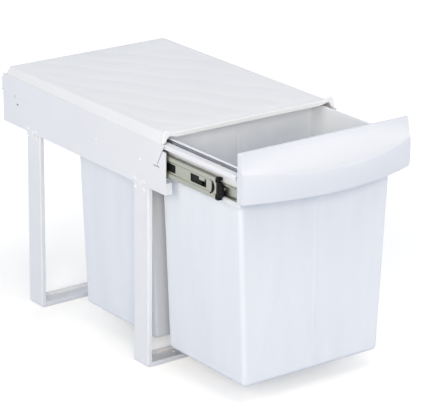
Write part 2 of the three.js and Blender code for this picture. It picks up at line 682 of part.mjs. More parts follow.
// A bin: a tapered tub with round corners, a rolled foot, centre beads and a rim.
function bin() {
  const { bottom, rimTop, rimThick, rimWidth, rimEdge, wall, footRound } = BIN;
  const { beadFoot, beadTop, beadRunOut, beadHeight } = BIN;
  const beaded = (inset) => [
    binRing(beadFoot, inset, 0), binRing(beadFoot + beadRunOut, inset, beadHeight),
    binRing(beadTop - beadRunOut, inset, beadHeight), binRing(beadTop, inset, 0),
  ];
  const roll = [1, 0.6, 0.25, 0].map((share) => {
    const angle = share * (Math.PI / 2);
    return binRing(bottom + footRound * (1 - Math.sin(angle)), footRound * (1 - Math.cos(angle)), 0);
  });
  const rim = [
    binRing(rimTop - rimThick, 0, 0), binRing(rimTop - rimThick, 0, 0, rimWidth),
    binRing(rimTop - rimEdge, 0, 0, rimWidth), binRing(rimTop, rimEdge, 0, rimWidth),
    binRing(rimTop, wall - rimEdge, 0), binRing(rimTop - rimEdge, wall, 0),
  ];
  const floor = [binRing(bottom + footRound, wall, 0), binRing(bottom + wall, footRound, 0)];
  return loft([...roll, ...beaded(0), ...rim, ...beaded(wall).reverse(), ...floor]);
}

// ---- Bowed front --------------------------------------------------------------------

// The front's section in (y, z) at a place across it, for its skin, or for its hollow when
// inset is the wall's thickness. The hollow runs out through the back and the bottom.
function fasciaSection(x, inset) {
  const { back, bottom, top, topEdgeY, topEdgeThick, tuck, tuckHeight, bulge } = FASCIA;
  const bow = 1 - (Math.abs(x) / FASCIA.half) ** 2;
  const faceY = mix(FASCIA.endFaceY, FASCIA.bowFaceY, bow) + inset;
  const ridge = mix(FASCIA.endRidge, FASCIA.bowRidge, bow) - inset / 2;
  const edgeY = topEdgeY + inset;
  const [rearY, low, high] = inset
    ? [back + PAST, bottom - PAST, top - topEdgeThick]
    : [back, bottom, top];
  const scoop = FASCIA.scoop.map((t) => [
    mix(faceY, edgeY, 1 - (1 - t) ** FASCIA.scoopIn), mix(ridge, high, t ** FASCIA.scoopUp),
  ]);
  return [
    [rearY, low], [faceY + tuck, low], [faceY, low + tuckHeight],
    [faceY - bulge, (low + ridge) / 2], [faceY, ridge - FASCIA.ridgeDrop],
    [faceY + bulge, ridge - FASCIA.ridgeRound], ...scoop, [rearY, high],
  ];
}

// The bowed front: a shell open behind and below, with bosses for its screws.
function fascia() {
  const { half, wall, stations, back, bossR, bowFaceY, screwX, screwZ } = FASCIA;
  const skin = (width, inset) => {
    const rings = Array.from({ length: stations + 1 }, (_, i) => {
      const x = mix(width, -width, i / stations);
      return fasciaSection(x, inset).map(([y, z]) => [x, y, z]);
    });
    return loft(rings);
  };
  const outside = skin(half, 0);
  const shell = outside.subtract(skin(half - wall, wall));
  const places = screwX.flatMap((x) => [-x, x]).map((x) => [x, screwZ]);
  const bosses = places.map((at) => bar("y", at, bossR, bowFaceY, back).intersect(outside));
  const pilots = places.map((at) =>
    bar("y", at, SCREW.shankR + GAP, back - SCREW.reach, back + PAST, 8),
  );
  return cut(join([shell, ...bosses]), pilots);
}

function frontScrew() {
  const at = [0, FASCIA.screwZ];
  const seat = RAIL.front + SHEET + GAP;
  const tip = FASCIA.back - SCREW.reach + PAST;
  const head = bar("y", at, SCREW.headR, seat, seat + SCREW.headHeight);
  const shank = bar("y", at, SCREW.shankR, tip, seat + LAP, 8);
  return join([head, shank]);
}

// ---- Assembly -----------------------------------------------------------------------

function mesh(name, body, material, y = 0) {
  const made = new THREE.Mesh(geometryOf(body), material);
  made.name = name;
  made.position.y = y;
  return made;
}

// Adds a left piece, and its mirror image on the right.
function addPair(group, name, body, material, y = 0) {
  const left = mesh("left_" + name, body, material, y);
  const right = mesh("right_" + name, body, material, y);
  right.scale.x = -1;
  group.add(left, right);
}

function sliding(share) {
  const group = new THREE.Group();
  group.position.y = -DRAWER_OUT * share;
  return group;
}

const frame = new THREE.Group();
frame.add(
  mesh("top_cover", topCover(), powderCoat),
  mesh("front_foot", foot(), powderCoat),
  mesh("rear_foot", foot(), powderCoat, FOOT.rearY),
  mesh("rear_tie_bar", tieBar(), powderCoat),
);
addPair(frame, "side_panel", sidePanel(), powderCoat);
addPair(frame, "front_foot_rivet", footRivet(), powderCoat);
addPair(frame, "rear_foot_rivet", footRivet(), powderCoat, FOOT.rearY);
addPair(frame, "tie_bar_rivet", tieRivet(), powderCoat);
addPair(frame, "outer_slide", outerMember(), zinc);
SLIDE_RIVET_Y.forEach((y, i) => addPair(frame, `slide_rivet_${i + 1}`, slideRivet(), powderCoat, y));

const middle = sliding(MIDDLE_SHARE);
addPair(middle, "middle_slide", middleMember(), zinc);
addPair(middle, "slide_bumper", bumper(), blackPlastic);

const outerCages = sliding(OUTER_CAGE_SHARE);
addPair(outerCages, "outer_ball_cage", ballCage(OUTER_CAGE), blackPlastic);
const innerCages = sliding(INNER_CAGE_SHARE);
addPair(innerCages, "inner_ball_cage", ballCage(INNER_CAGE), blackPlastic);

const drawer = sliding(1);
addPair(drawer, "inner_slide", innerMember(), zinc);
addPair(drawer, "release_lever", releaseLever(), blackPlastic);
DRAWER_SCREW_Y.forEach((y, i) => addPair(drawer, `drawer_screw_${i + 1}`, drawerScrew(), brightZinc, y));
addPair(drawer, "drawer_rail", sideRail(), powderCoat);

const frontScrewX = FASCIA.screwX.flatMap((x) => [-x, x]);
const frontCrossRail = crossRail(RAIL.front, DRAWER_Y[0] - GAP, frontScrewX);
const rearCrossRail = crossRail(RAIL.rear, DRAWER_Y[1] + GAP, []);
drawer.add(
  mesh("front_cross_rail", frontCrossRail, powderCoat),
  mesh("middle_cross_rail", middleRail(), powderCoat),
  mesh("rear_cross_rail", rearCrossRail, powderCoat),
  mesh("bin_carrier", binCarrier(), brightZinc),
  mesh("front_bin", bin(), whitePlastic),
  mesh("rear_bin", bin(), whitePlastic, BIN.pitch),
  mesh("drawer_front", fascia(), frontPlastic),
);
frontScrewX.forEach((x, i) => {
  const side = x < 0 ? "left" : "right";
  const screw = mesh(`${side}_front_screw_${Math.floor(i / 2) + 1}`, frontScrew(), brightZinc);
  screw.position.x = x;
  drawer.add(screw);
});

const cabinet = new THREE.Group();
cabinet.add(frame, middle, outerCages, innerCages, drawer);

export default cabinet;
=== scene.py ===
"""The looks of a pull-out waste cabinet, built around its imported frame.

Lengths are written in millimetres in the part's own frame, at its resting pose, and
become metres where a mesh is made. +Z is up and the drawer opens along -Y.
"""

from types import SimpleNamespace as Sizes

import math

import bmesh
import bpy
from mathutils import Matrix, Vector


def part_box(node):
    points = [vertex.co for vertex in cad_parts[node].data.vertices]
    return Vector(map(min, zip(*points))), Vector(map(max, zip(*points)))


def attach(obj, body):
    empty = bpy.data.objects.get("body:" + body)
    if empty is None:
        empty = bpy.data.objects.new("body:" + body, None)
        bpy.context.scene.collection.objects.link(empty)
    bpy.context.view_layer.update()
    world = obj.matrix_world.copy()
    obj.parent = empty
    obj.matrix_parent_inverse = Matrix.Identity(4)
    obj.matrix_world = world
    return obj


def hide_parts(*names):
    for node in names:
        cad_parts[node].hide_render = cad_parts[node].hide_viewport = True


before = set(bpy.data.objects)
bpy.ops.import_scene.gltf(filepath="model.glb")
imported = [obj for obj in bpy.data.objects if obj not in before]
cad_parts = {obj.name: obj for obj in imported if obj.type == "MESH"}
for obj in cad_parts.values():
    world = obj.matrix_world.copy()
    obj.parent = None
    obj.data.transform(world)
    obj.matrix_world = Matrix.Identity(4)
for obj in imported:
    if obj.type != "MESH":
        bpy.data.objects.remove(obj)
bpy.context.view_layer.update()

# ---- Driving dimensions --------------------------------------------------------------

MM = 0.001
SHEET = 1.2  # steel of the frame and drawer
GAP = 0.3  # clearance between pieces that touch
SIDES = {"left": 1, "right": -1}  # the left side is at -X, and the right is its mirror

PANEL = Sizes(
    outer=171, inner=169.8, front=-68.8, rear=404.6, bottom=305.8, top_front=385.5, top_rear=390,
    rear_return=15, rear_bend=3, tab_half=18, tab_drop=13, tab_lean=3, chamfer=3,
)
CORNER = Sizes(
    top_y=-64.4, foot_y=-46, foot_z=352, slit=1.8, flap_top=375,
    slot=(-52.5, -36), slot_z=(346.5, 348.5),
)
FRONT_TAB = Sizes(bottom=306, top=325, reach=12.4)
REAR_KEYHOLES = ((358.2, 344.5, 3.6, 1.5), (365, 357.2, 1.2, 2.2))  # y, z, half length, half height
CREASE = Sizes(z=351, depth=0.4, width=2.4, front=-36, rear=374.6)
CLINCH = Sizes(y=12, z=6.6, centre_z=306.8, mouth=3.3, floor=2.5, depth=1.15)
FEET_Y = (0, 312)
SLIDE_RIVETS_Y = (1.2, 122.6, 288.9)
SLIDE_RIVETS_Z = 346.6
SLIDE_RIVET_HOLE = 2
RIVET = Sizes(hole=2.3, head=3.4, tail=3.0, height=1.3)  # the feet's and the tie bar's

COVER = Sizes(
    top=400, flat=158, skirt=169.5, bevel_foot=386, skirt_foot=376.5, front=-58.4, rear=401,
    rear_foot=386, bend=3.0, rear_bend=2.4,
)
# The rolled edge: a bead along the front that rises to an ear and turns down at each end.
HEM = Sizes(
    front=-59.4, rear=-55.4, rounding=1.7, level_half=146, top=401.5, foot=393, foot_half=142,
    ear=((157, 405.5), (163.5, 406.5), (167.5, 402.5), (171.3, 386.2)),
    throat=((164, 386.2), (160.8, 393), (156.5, 396.8), (148, 394.4)),
    flare=5.5, flare_from=14, flare_x=161, flare_half=9,
)
# The waves: rounded beads with sharp valleys, whose lines swing and fan out to the front.
WAVE = Sizes(
    pitch=56.5, lean=math.radians(-49), tilt=0.155, fan=0.00068, start=28,
    swing=4, swing_length=118, swing_start=57, swing_shift=0.2, height=2.1, margin=10, fade=14,
)

FOOT = Sizes(width=40, sheet=1.5, flange=8, outer=169.5, top=326, hole_x=98, hole_y=10, hole_r=3)
TIE = Sizes(bottom=358, top=382, depth=4.2, lip=3, half=170.6, rivet_x=163.5)

SLIDE_Z = 351.8
SLIDE_SHEET = 1.1
OUTER = ((10.4, 19.6), (8.8, 22.7), (1.9, 22.7), (0.3, 21.1))
MIDDLE = ((12, 14.2), (10.8, 17.5), (4.2, 17.5), (2.7, 16.2), (2.7, 10.2), (4.6, 8.6))
INNER = ((7, 8.4), (8.2, 10.7), (11.6, 10.7), (12.9, 9.4))
OUTER_SLOTS = Sizes(y=(40, 220, 350), half_length=9, half_height=2.4)
WINDOWS = Sizes(y=((25, 65), (104, 136.4)), half_height=6.5, corner=1.4)
CRESCENT = Sizes(y=11.4, width=2.6, half_height=11.2, front_bulge=7.8, rear_bulge=2.6)
LANCED_TAB = Sizes(y=29.4, length=14, foot=2, top=6.8, thick=0.8)
INNER_SLOTS = Sizes(y=(-120, 40, 190), half_length=7, half_height=2, corner=1.9)
RAIL_SCREWS = Sizes(y=(-200, 152), hole=2.4, seat=11.4, tip=18)
CAGES = {
    "outer": Sizes(web=1.8, half=19.9, reach=8, radius=1.75, depth=5.6, count=9),
    "inner": Sizes(web=6.1, half=13.85, reach=9.6, radius=2.3, depth=8.3, count=14),
}
BUMPER = Sizes(
    half=17.5, reach=11.9, inside=6.6, behind=5.9, block_half=11.2, nub=4, nub_length=6.5,
    core=(5.2, 8.8), core_half=6.6, tongue_half=12.4, tongue_past=12.2,
)
LEVER = Sizes(hub=4.6, arm=(7.4, 10.9), ribs=(7, 7.8), rib_half=4, rib_first=3, rib_pitch=2.4, rib_count=5)

RAIL = Sizes(lip_x=167, lip_foot=377.5, top=384.5, flange_x=152.6, joggle=378.6, wall_x=155.2, foot=330)
CARRIER = Sizes(half=152.3, wall=1.5, foot=372.5, top=388.5, bridge=1.2, corner=10.4)
CROSS = Sizes(half=152.2, front=-239, foot=342, tab=6, tab_foot=346, tab_top=368)
WELDS = Sizes(x=-155.6, first=57, pitch=64, count=7, radius=2.2, height=0.35, margin=8)

BIN = Sizes(
    half_top=149.9, half_bottom=133.4, depth=204.9, front_draft=0.9, rear_draft=4, bottom=29.5,
    rim_top=390.5, rim_thick=1.7, rim_width=2.4, wall=2, corner=8, corner_least=2, foot_round=7.5,
    bead_half=2.6, bead_slope=2.6, bead_height=1.3, bead_foot=45, bead_top=369,
)
FRONT = Sizes(
    half=164, wall=2.6, bottom=340.6, top=419.8, back=-239.4, top_edge=-245.1, edge_thick=3,
    end_face=-251.8, end_ridge=391.6, bow_face=-283.4, bow_ridge=381.5, end_round=1.2, middle=-258,
)
BOSS = Sizes(
    x=(60, 128), z=362, radius=4.6, pilot=1.6, pilot_depth=12, screw_tip=-250.4,
    rib_half=0.8, rib_z=(366, 376),
)

# ---- Outlines ------------------------------------------------------------------------


def toward(p, q):
    return (Vector(q) - Vector(p)).normalized()


def shifted(line, distance):
    """The open line moved over to its left by a distance, with mitred corners."""
    moved, last = [], len(line) - 1
    for i, p in enumerate(line):
        before = toward(line[max(i - 1, 0)], line[max(i, 1)])
        after = toward(line[min(i, last - 1)], line[min(i + 1, last)])
        normal = Vector((-(before.y + after.y), before.x + after.x))
        moved.append(Vector(p) + normal * (2 * distance / normal.length_squared))
    return moved


def rounded(line, radius, steps=4, closed=False):
    """The line with its corners turned into arcs. A closed line has no ends to keep."""
    line = [Vector(p) for p in line]
    if closed:
        corners = zip(line[-1:] + line[:-1], line, line[1:] + line[:1])
    else:
        corners = zip(line, line[1:], line[2:])
    arcs = []
    for before, corner, after in corners:
        back, on = toward(corner, before), toward(corner, after)
        half = back.angle(on) / 2
        room = 0.48 * min((before - corner).length, (after - corner).length)
        reach = min(radius / math.tan(half), room)
        centre = corner + (back + on).normalized() * (reach / math.cos(half))
        start, end = corner + back * reach - centre, corner + on * reach - centre
        turn = (math.pi - 2 * half) * math.copysign(1, start.x * end.y - start.y * end.x)
        arcs += [centre + Matrix.Rotation(turn * i / steps, 2) @ start for i in range(steps + 1)]
    return arcs if closed else [line[0], *arcs, line[-1]]


def rectangle(a, b, radius=0, steps=8):
    corners = [(a[0], b[0]), (a[1], b[0]), (a[1], b[1]), (a[0], b[1])]
    return rounded(corners, radius, steps, closed=True) if radius else [Vector(p) for p in corners]


def circle(centre, radius, steps=24):
    turns = [2 * math.pi * i / steps for i in range(steps)]
    return [Vector((centre[0] + radius * math.cos(t), centre[1] + radius * math.sin(t))) for t in turns]


def mix(a, b, t):
    return a + (b - a) * t


def smooth(t):
    t = min(max(t, 0), 1)
    return t * t * (3 - 2 * t)


def about(middle, half):
    return (middle - half, middle + half)


# ---- Bodies --------------------------------------------------------------------------

# An outline's two coordinates and its depth, as x, y and z, by the axis it runs along.
PLACE = {
    "x": lambda a, b, depth: (depth, a, b),
    "y": lambda a, b, depth: (a, depth, b),
    "z": lambda a, b, depth: (a, b, depth),
}


def placed(name, data):
    """A new object in the scene."""
    body = bpy.data.objects.new(name, data)
    bpy.context.scene.collection.objects.link(body)
    return body


def solid(points, faces):
    """A closed body from points in millimetres, with its faces turned outwards."""
    mesh = bpy.data.meshes.new("solid")
    mesh.from_pydata([Vector(p) * MM for p in points], [], faces)
    work = bmesh.new()
    work.from_mesh(mesh)
    bmesh.ops.remove_doubles(work, verts=work.verts, dist=1e-7)
    bmesh.ops.recalc_face_normals(work, faces=work.faces)
    work.to_mesh(mesh)
    work.free()
    return placed("solid", mesh)


def skin(rings):
    """A body through closed rings with equal numbers of points, and a face over each end."""
    count = len(rings[0])
    faces = [list(range(count)), list(range((len(rings) - 1) * count, len(rings) * count))]
    for r in range(len(rings) - 1):
        for i in range(count):
            a, b = r * count + i, r * count + (i + 1) % count
            faces.append([a, b, b + count, a + count])
    return solid([p for ring in rings for p in ring], faces)


def prism(outline, axis, start, end):
    return skin([[PLACE[axis](*p, depth) for p in outline] for depth in (start, end)])


def block(x, y, z, radius=0):
    return prism(rectangle(x, y, radius), "z", *z)


def turned(profile, axis, at, steps=24):
    """A body of revolution about an axis through at. The profile is (radius, depth)."""
    rings = [[PLACE[axis](*p, depth) for p in circle(at, max(r, 0.02), steps)] for r, depth in profile]
    return skin(rings)


def bent(line, thick, axis, start, end, radius=1.6, steps=4):
    """A sheet bent along an axis. It lies to the left of the line, or to its right where
    thick is below zero."""
    middle = rounded(shifted(line, thick / 2), radius, steps)
    half = abs(thick) / 2
    sides = [*shifted(middle, half), *shifted(middle, -half)]
    points = [PLACE[axis](*p, depth) for depth in (start, end) for p in sides]
    count = len(middle)
    faces = []
    for i in range(count - 1):
        faces.append([i, i + 1, count + i + 1, count + i])
        faces.append([2 * count + i, 2 * count + i + 1, 3 * count + i + 1, 3 * count + i])
        faces.append([i, i + 1, 2 * count + i + 1, 2 * count + i])
        faces.append([count + i, count + i + 1, 3 * count + i + 1, 3 * count + i])
    faces.append([0, count, 3 * count, 2 * count])
    faces.append([count - 1, 2 * count - 1, 4 * count - 1, 3 * count - 1])
    return solid(points, faces)


def settled(body):
    """Takes the body's mesh as its modifiers make it."""
    bpy.context.view_layer.update()
    graph = bpy.context.evaluated_depsgraph_get()
    made = bpy.data.meshes.new_from_object(body.evaluated_get(graph))
    body.modifiers.clear()
    body.data = made
    return body


def gathered(bodies):
    """One object that holds several bodies side by side."""
    work = bmesh.new()
    for body in bodies:
        work.from_mesh(body.data)
    for body in bodies[1:]:
        bpy.data.objects.remove(body, do_unlink=True)
    work.to_mesh(bodies[0].data)
    work.free()
    return bodies[0]


def boolean(body, tool, operation):
    change = body.modifiers.new("boolean", "BOOLEAN")
    change.operation, change.object, change.solver = operation, tool, "EXACT"
    settled(body)
    bpy.data.objects.remove(tool, do_unlink=True)
    return body


def cut(body, tools):
    return boolean(body, gathered(tools), "DIFFERENCE") if tools else body


def join(body, *others):
    for other in others:
        body = boolean(body, other, "UNION")
    return body


def mirrored(body):
    body.data.transform(Matrix.Scale(-1, 4, (1, 0, 0)))
    body.data.flip_normals()
    return body


EDGE_ANGLE = math.radians(30)
SHARP_ANGLE = math.radians(42)


def piece(name, body, material, rides, nodes=(), edge=0.3, segments=2):
    """Names a body, rounds its edges and gives it a finish. It rides on a body of the
    frame and stands for nodes."""
    body.name = name
    if edge:
        bevel = body.modifiers.new("edges", "BEVEL")
        bevel.width, bevel.segments = edge * MM, segments
        bevel.limit_method, bevel.angle_limit = "ANGLE", EDGE_ANGLE
        settled(body)
    work = bmesh.new()
    work.from_mesh(body.data)
    bmesh.ops.dissolve_degenerate(work, edges=work.edges, dist=1e-6)
    work.to_mesh(body.data)
    work.free()
    body.data.shade_smooth()
    body.data.set_sharp_from_angle(angle=SHARP_ANGLE)
    normals = body.modifiers.new("normals", "WEIGHTED_NORMAL")
    normals.keep_sharp = True
    settled(body)
    body.data.name = name
    body.data.materials.clear()
    body.data.materials.append(material)
    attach(body, rides)
    if nodes:
        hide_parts(*nodes)
    return body


def pair(name, make, material, rides, nodes=(), **finish):
    """A left piece and its mirror image. A "*" in names is left or right."""
    for side, sign in SIDES.items():
        body = make() if sign > 0 else mirrored(make())
        named = [text.replace("*", side) for text in (name, rides, *nodes)]
        piece(named[0], body, material, named[1], named[2:], **finish)


def extent(node, axis):
    """A CAD node's lowest and highest place on an axis, in millimetres."""
    low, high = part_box(node)
    return low["xyz".index(axis)] / MM, high["xyz".index(axis)] / MM


# ---- Finishes ------------------------------------------------------------------------


def filled(node, values):
    """Sets a node's inputs by their names, which have "_" for a space."""
    for socket, value in values.items():
        node.inputs[socket.replace("_", " ")].default_value = value
    return node


def new_node(tree, kind, **values):
    return filled(tree.nodes.new("ShaderNode" + kind), values)


def map_range(tree, value, start, end, low, high):
    """A node that maps a value from start to end onto low to high."""
    node = new_node(tree, "MapRange", From_Min=start, From_Max=end, To_Min=low, To_Max=high)
    tree.links.new(value, node.inputs["Value"])
    return node


class Finish:
    """A procedural material on the object's own coordinates, named after its slot."""

    def __init__(self, slot, **values):
        self.material = bpy.data.materials.new(slot)
        self.material["slot"] = slot
        self.material.use_nodes = True
        self.tree = self.material.node_tree
        self.shader = filled(self.tree.nodes["Principled BSDF"], values)
        self.place = new_node(self.tree, "TexCoord").outputs["Object"]

    def link(self, out, into):
        self.tree.links.new(out, into)

    def noise(self, scale, detail=2.0, stretch=(1, 1, 1), roughness=0.5, distortion=0.0):
        mapping = new_node(self.tree, "Mapping", Scale=stretch)
        self.link(self.place, mapping.inputs["Vector"])
        noise = new_node(self.tree, "TexNoise", Scale=scale, Detail=detail, Roughness=roughness,
                         Distortion=distortion)
        self.link(mapping.outputs["Vector"], noise.inputs["Vector"])
        return noise.outputs["Fac"]

    def ranged(self, value, low, high, start=0.3, end=0.7):
        """Maps a noise's usual spread onto low to high."""
        return map_range(self.tree, value, start, end, low, high).outputs["Result"]

    def blend(self, factor, first, second):
        """A colour between two, each a colour or another node's output."""
        node = new_node(self.tree, "Mix")
        node.data_type = "RGBA"
        self.link(factor, node.inputs["Factor"])
        for socket, colour in ((node.inputs[6], first), (node.inputs[7], second)):
            if isinstance(colour, bpy.types.NodeSocket):
                self.link(colour, socket)
            else:
                socket.default_value = (*colour, 1)
        return node.outputs[2]

    def bump(self, height, depth, strength=1.0, over=None):
        """Raises the surface by up to depth metres, on top of another bump."""
        node = new_node(self.tree, "Bump", Strength=strength, Distance=depth)
        self.link(height, node.inputs["Height"])
        if over:
            self.link(over, node.inputs["Normal"])
        return node.outputs["Normal"]

    def done(self, colour=None, roughness=None, normal=None):
        for out, socket in ((colour, "Base Color"), (roughness, "Roughness"), (normal, "Normal")):
            if out:
                self.link(out, self.shader.inputs[socket])
        return self.material


def tinted(colour, factor):
    return tuple(min(channel * factor, 1) for channel in colour)


def powder_coat():
    """White powder coat: slightly uneven in tone, with a fine orange peel."""
    colour = (0.915, 0.915, 0.92)
    f = Finish("powder_coat", IOR=1.5)
    cloud = f.ranged(f.noise(7, 3), 0, 1)
    tone = f.blend(cloud, tinted(colour, 0.975), tinted(colour, 1.01))
    speck = f.ranged(f.noise(1400, 1), 0, 0.5, 0.62, 0.75)
    tone = f.blend(speck, tone, tinted(colour, 0.93))
    peel = f.bump(f.noise(650, 2), 0.00009, 0.35)
    sheet = f.bump(f.noise(16, 1), 0.0006, 0.25, peel)
    return f.done(tone, f.ranged(f.noise(38, 3), 0.34, 0.46), sheet)


def bin_plastic():
    """Moulded polypropylene, bluish white, with flow marks up its walls."""
    colour = (0.90, 0.922, 0.95)
    f = Finish("bin_plastic", IOR=1.49)
    flow = f.ranged(f.noise(9, 2, (3.0, 3.0, 0.5)), 0, 1)
    tone = f.blend(flow, tinted(colour, 0.975), tinted(colour, 1.015))
    scuff = f.ranged(f.noise(60, 4, (1, 1, 0.35), 0.6), 0, 0.35, 0.6, 0.72)
    tone = f.blend(scuff, tone, tinted(colour, 1.05))
    grain = f.bump(f.noise(1100, 2), 0.00005, 0.3)
    sink = f.bump(f.noise(14, 1, (1, 1, 0.4)), 0.0005, 0.22, grain)
    return f.done(tone, f.ranged(f.noise(30, 3), 0.36, 0.5), sink)


def front_plastic():
    """The drawer front's smoother plastic."""
    colour = (0.825, 0.84, 0.875)
    f = Finish("front_plastic", IOR=1.49)
    cloud = f.ranged(f.noise(8, 2), 0, 1)
    tone = f.blend(cloud, tinted(colour, 0.98), tinted(colour, 1.01))
    grain = f.bump(f.noise(1600, 1), 0.00003, 0.25)
    sink = f.bump(f.noise(11, 1), 0.0004, 0.2, grain)
    return f.done(tone, f.ranged(f.noise(26, 3), 0.46, 0.56), sink)


def slide_steel():
    """Yellowish zinc plating on steel rolled along the slides."""
    f = Finish("slide_steel", Metallic=1.0, Anisotropic=0.3)
    drift = f.ranged(f.noise(22, 3, (1, 0.4, 1)), 0, 1)
    tone = f.blend(drift, (0.36, 0.375, 0.32), (0.42, 0.425, 0.385))
    bloom = f.ranged(f.noise(70, 3, (1, 0.5, 1), 0.6, 0.4), 0, 0.6, 0.5, 0.7)
    tone = f.blend(bloom, tone, (0.36, 0.40, 0.375))
    lines = f.bump(f.noise(900, 2, (1, 0.02, 1)), 0.00004, 0.4)
    return f.done(tone, f.ranged(f.noise(120, 3, (1, 0.06, 1)), 0.3, 0.46), lines)


def bright_zinc():
    """Clear zinc plating, with the faint spangle of drawn strip."""
    f = Finish("bright_zinc", Metallic=1.0)
    spangle = f.ranged(f.noise(180, 2), 0, 1)
    tone = f.blend(spangle, (0.28, 0.29, 0.33), (0.36, 0.37, 0.41))
    lines = f.bump(f.noise(800, 2, (0.03, 0.03, 1)), 0.00004, 0.35)
    return f.done(tone, f.ranged(f.noise(90, 3), 0.32, 0.48), lines)


def black_plastic():
    """Black nylon."""
    f = Finish("black_plastic", IOR=1.5, Specular_IOR_Level=0.14)
    dust = f.ranged(f.noise(260, 3), 0, 1, 0.5, 0.75)
    tone = f.blend(dust, (0.006, 0.006, 0.007), (0.014, 0.014, 0.015))
    grain = f.bump(f.noise(1500, 2), 0.00006, 0.4)
    return f.done(tone, f.ranged(f.noise(50, 2), 0.42, 0.6), grain)


WHITE = powder_coat()
BIN_WHITE = bin_plastic()
FRONT_WHITE = front_plastic()
ZINC = slide_steel()
BRIGHT = bright_zinc()
BLACK = black_plastic()

# ---- Cover ---------------------------------------------------------------------------


def wave_height(x, y):
    """How far the waves stand up from the cover at a place on it."""
    along = Vector((math.cos(WAVE.lean), math.sin(WAVE.lean)))
    at = Vector((x, y - (COVER.front + COVER.rear) / 2))
    s, across = at.dot(along), at.dot(Vector((-along.y, along.x)))
    line = (across + WAVE.tilt * s) / (1 + WAVE.fan * s)
    turn = (s - WAVE.swing_start + WAVE.swing_shift * line) / WAVE.swing_length
    share = (line - WAVE.swing * math.cos(2 * math.pi * turn) - WAVE.start) / WAVE.pitch % 1
    crest = 4 * share * (1 - share)
    edges = (COVER.flat - abs(x), y - COVER.front, COVER.rear - y)
    fade = math.prod(smooth((edge - WAVE.margin) / WAVE.fade) for edge in edges)
    return WAVE.height * crest * fade


def flare(x, y):
    """How far the cover's sloping side rises towards the ear of the rolled edge."""
    near = smooth((COVER.front + HEM.flare_from - y) / HEM.flare_from)
    return HEM.flare * near * smooth(1 - abs(abs(x) - HEM.flare_x) / HEM.flare_half)


def cover_sheet():
    """The pressed sheet with its waves, sloping sides and skirts."""
    corners = [
        (-COVER.skirt, COVER.skirt_foot), (-COVER.skirt, COVER.bevel_foot),
        (-COVER.flat, COVER.top), (COVER.flat, COVER.top),
        (COVER.skirt, COVER.bevel_foot), (COVER.skirt, COVER.skirt_foot),
    ]
    across, along = 84, 118

    def section(drop):
        turn = rounded(shifted(corners, drop), COVER.bend + drop, 4)
        half = len(turn) // 2
        flat = [turn[half - 1].lerp(turn[half], i / across) for i in range(1, across)]
        return turn[:half] + flat + turn[half:]

    outer, inner = section(0), section(-SHEET)
    count = len(outer)
    stations = [mix(COVER.front, COVER.rear - COVER.rear_bend, i / along) for i in range(along + 1)]

    def height(p, y):
        on_top = p.y > COVER.top - 2 * SHEET
        return p.y + (wave_height(p.x, y) if on_top else 0) + flare(p.x, y)

    def sheet(line):
        return [(p.x, y, height(p, y)) for y in stations for p in line]

    points = sheet(outer) + sheet(inner)
    under = len(stations) * count
    faces = []
    for j in range(along):
        for i in range(count - 1):
            a = j * count + i
            faces.append([a, a + 1, a + count + 1, a + count])
            faces.append([under + a, under + a + 1, under + a + count + 1, under + a + count])
        left, right = j * count, j * count + count - 1
        faces.append([left, left + count, under + left + count, under + left])
        faces.append([right, right + count, under + right + count, under + right])
    for start in (0, along * count):
        for i in range(start, start + count - 1):
            faces.append([i, i + 1, under + i + 1, under + i])
    return solid(points, faces)


def cover():
    top = COVER.top
    turn_in = COVER.rear - COVER.rear_bend - 4
    rear_line = [(turn_in, top), (COVER.rear, top), (COVER.rear, COVER.rear_foot)]
    rear = bent(rear_line, -SHEET, "x", -COVER.flat, COVER.flat, COVER.rear_bend)
    side = [(HEM.level_half, HEM.top), *HEM.ear, *HEM.throat, (HEM.foot_half, HEM.foot)]
    outline = [*side, *[(-x, z) for x, z in reversed(side)]]
    hem = prism(rounded(outline, 4, 4, closed=True), "y", HEM.front, HEM.rear)
    piece("cover_sheet", join(cover_sheet(), rear), WHITE, "frame", ["top_cover"], edge=0)
    piece("cover_hem", hem, WHITE, "frame", ["top_cover"], edge=HEM.rounding, segments=4)


# ---- Side panels ---------------------------------------------------------------------


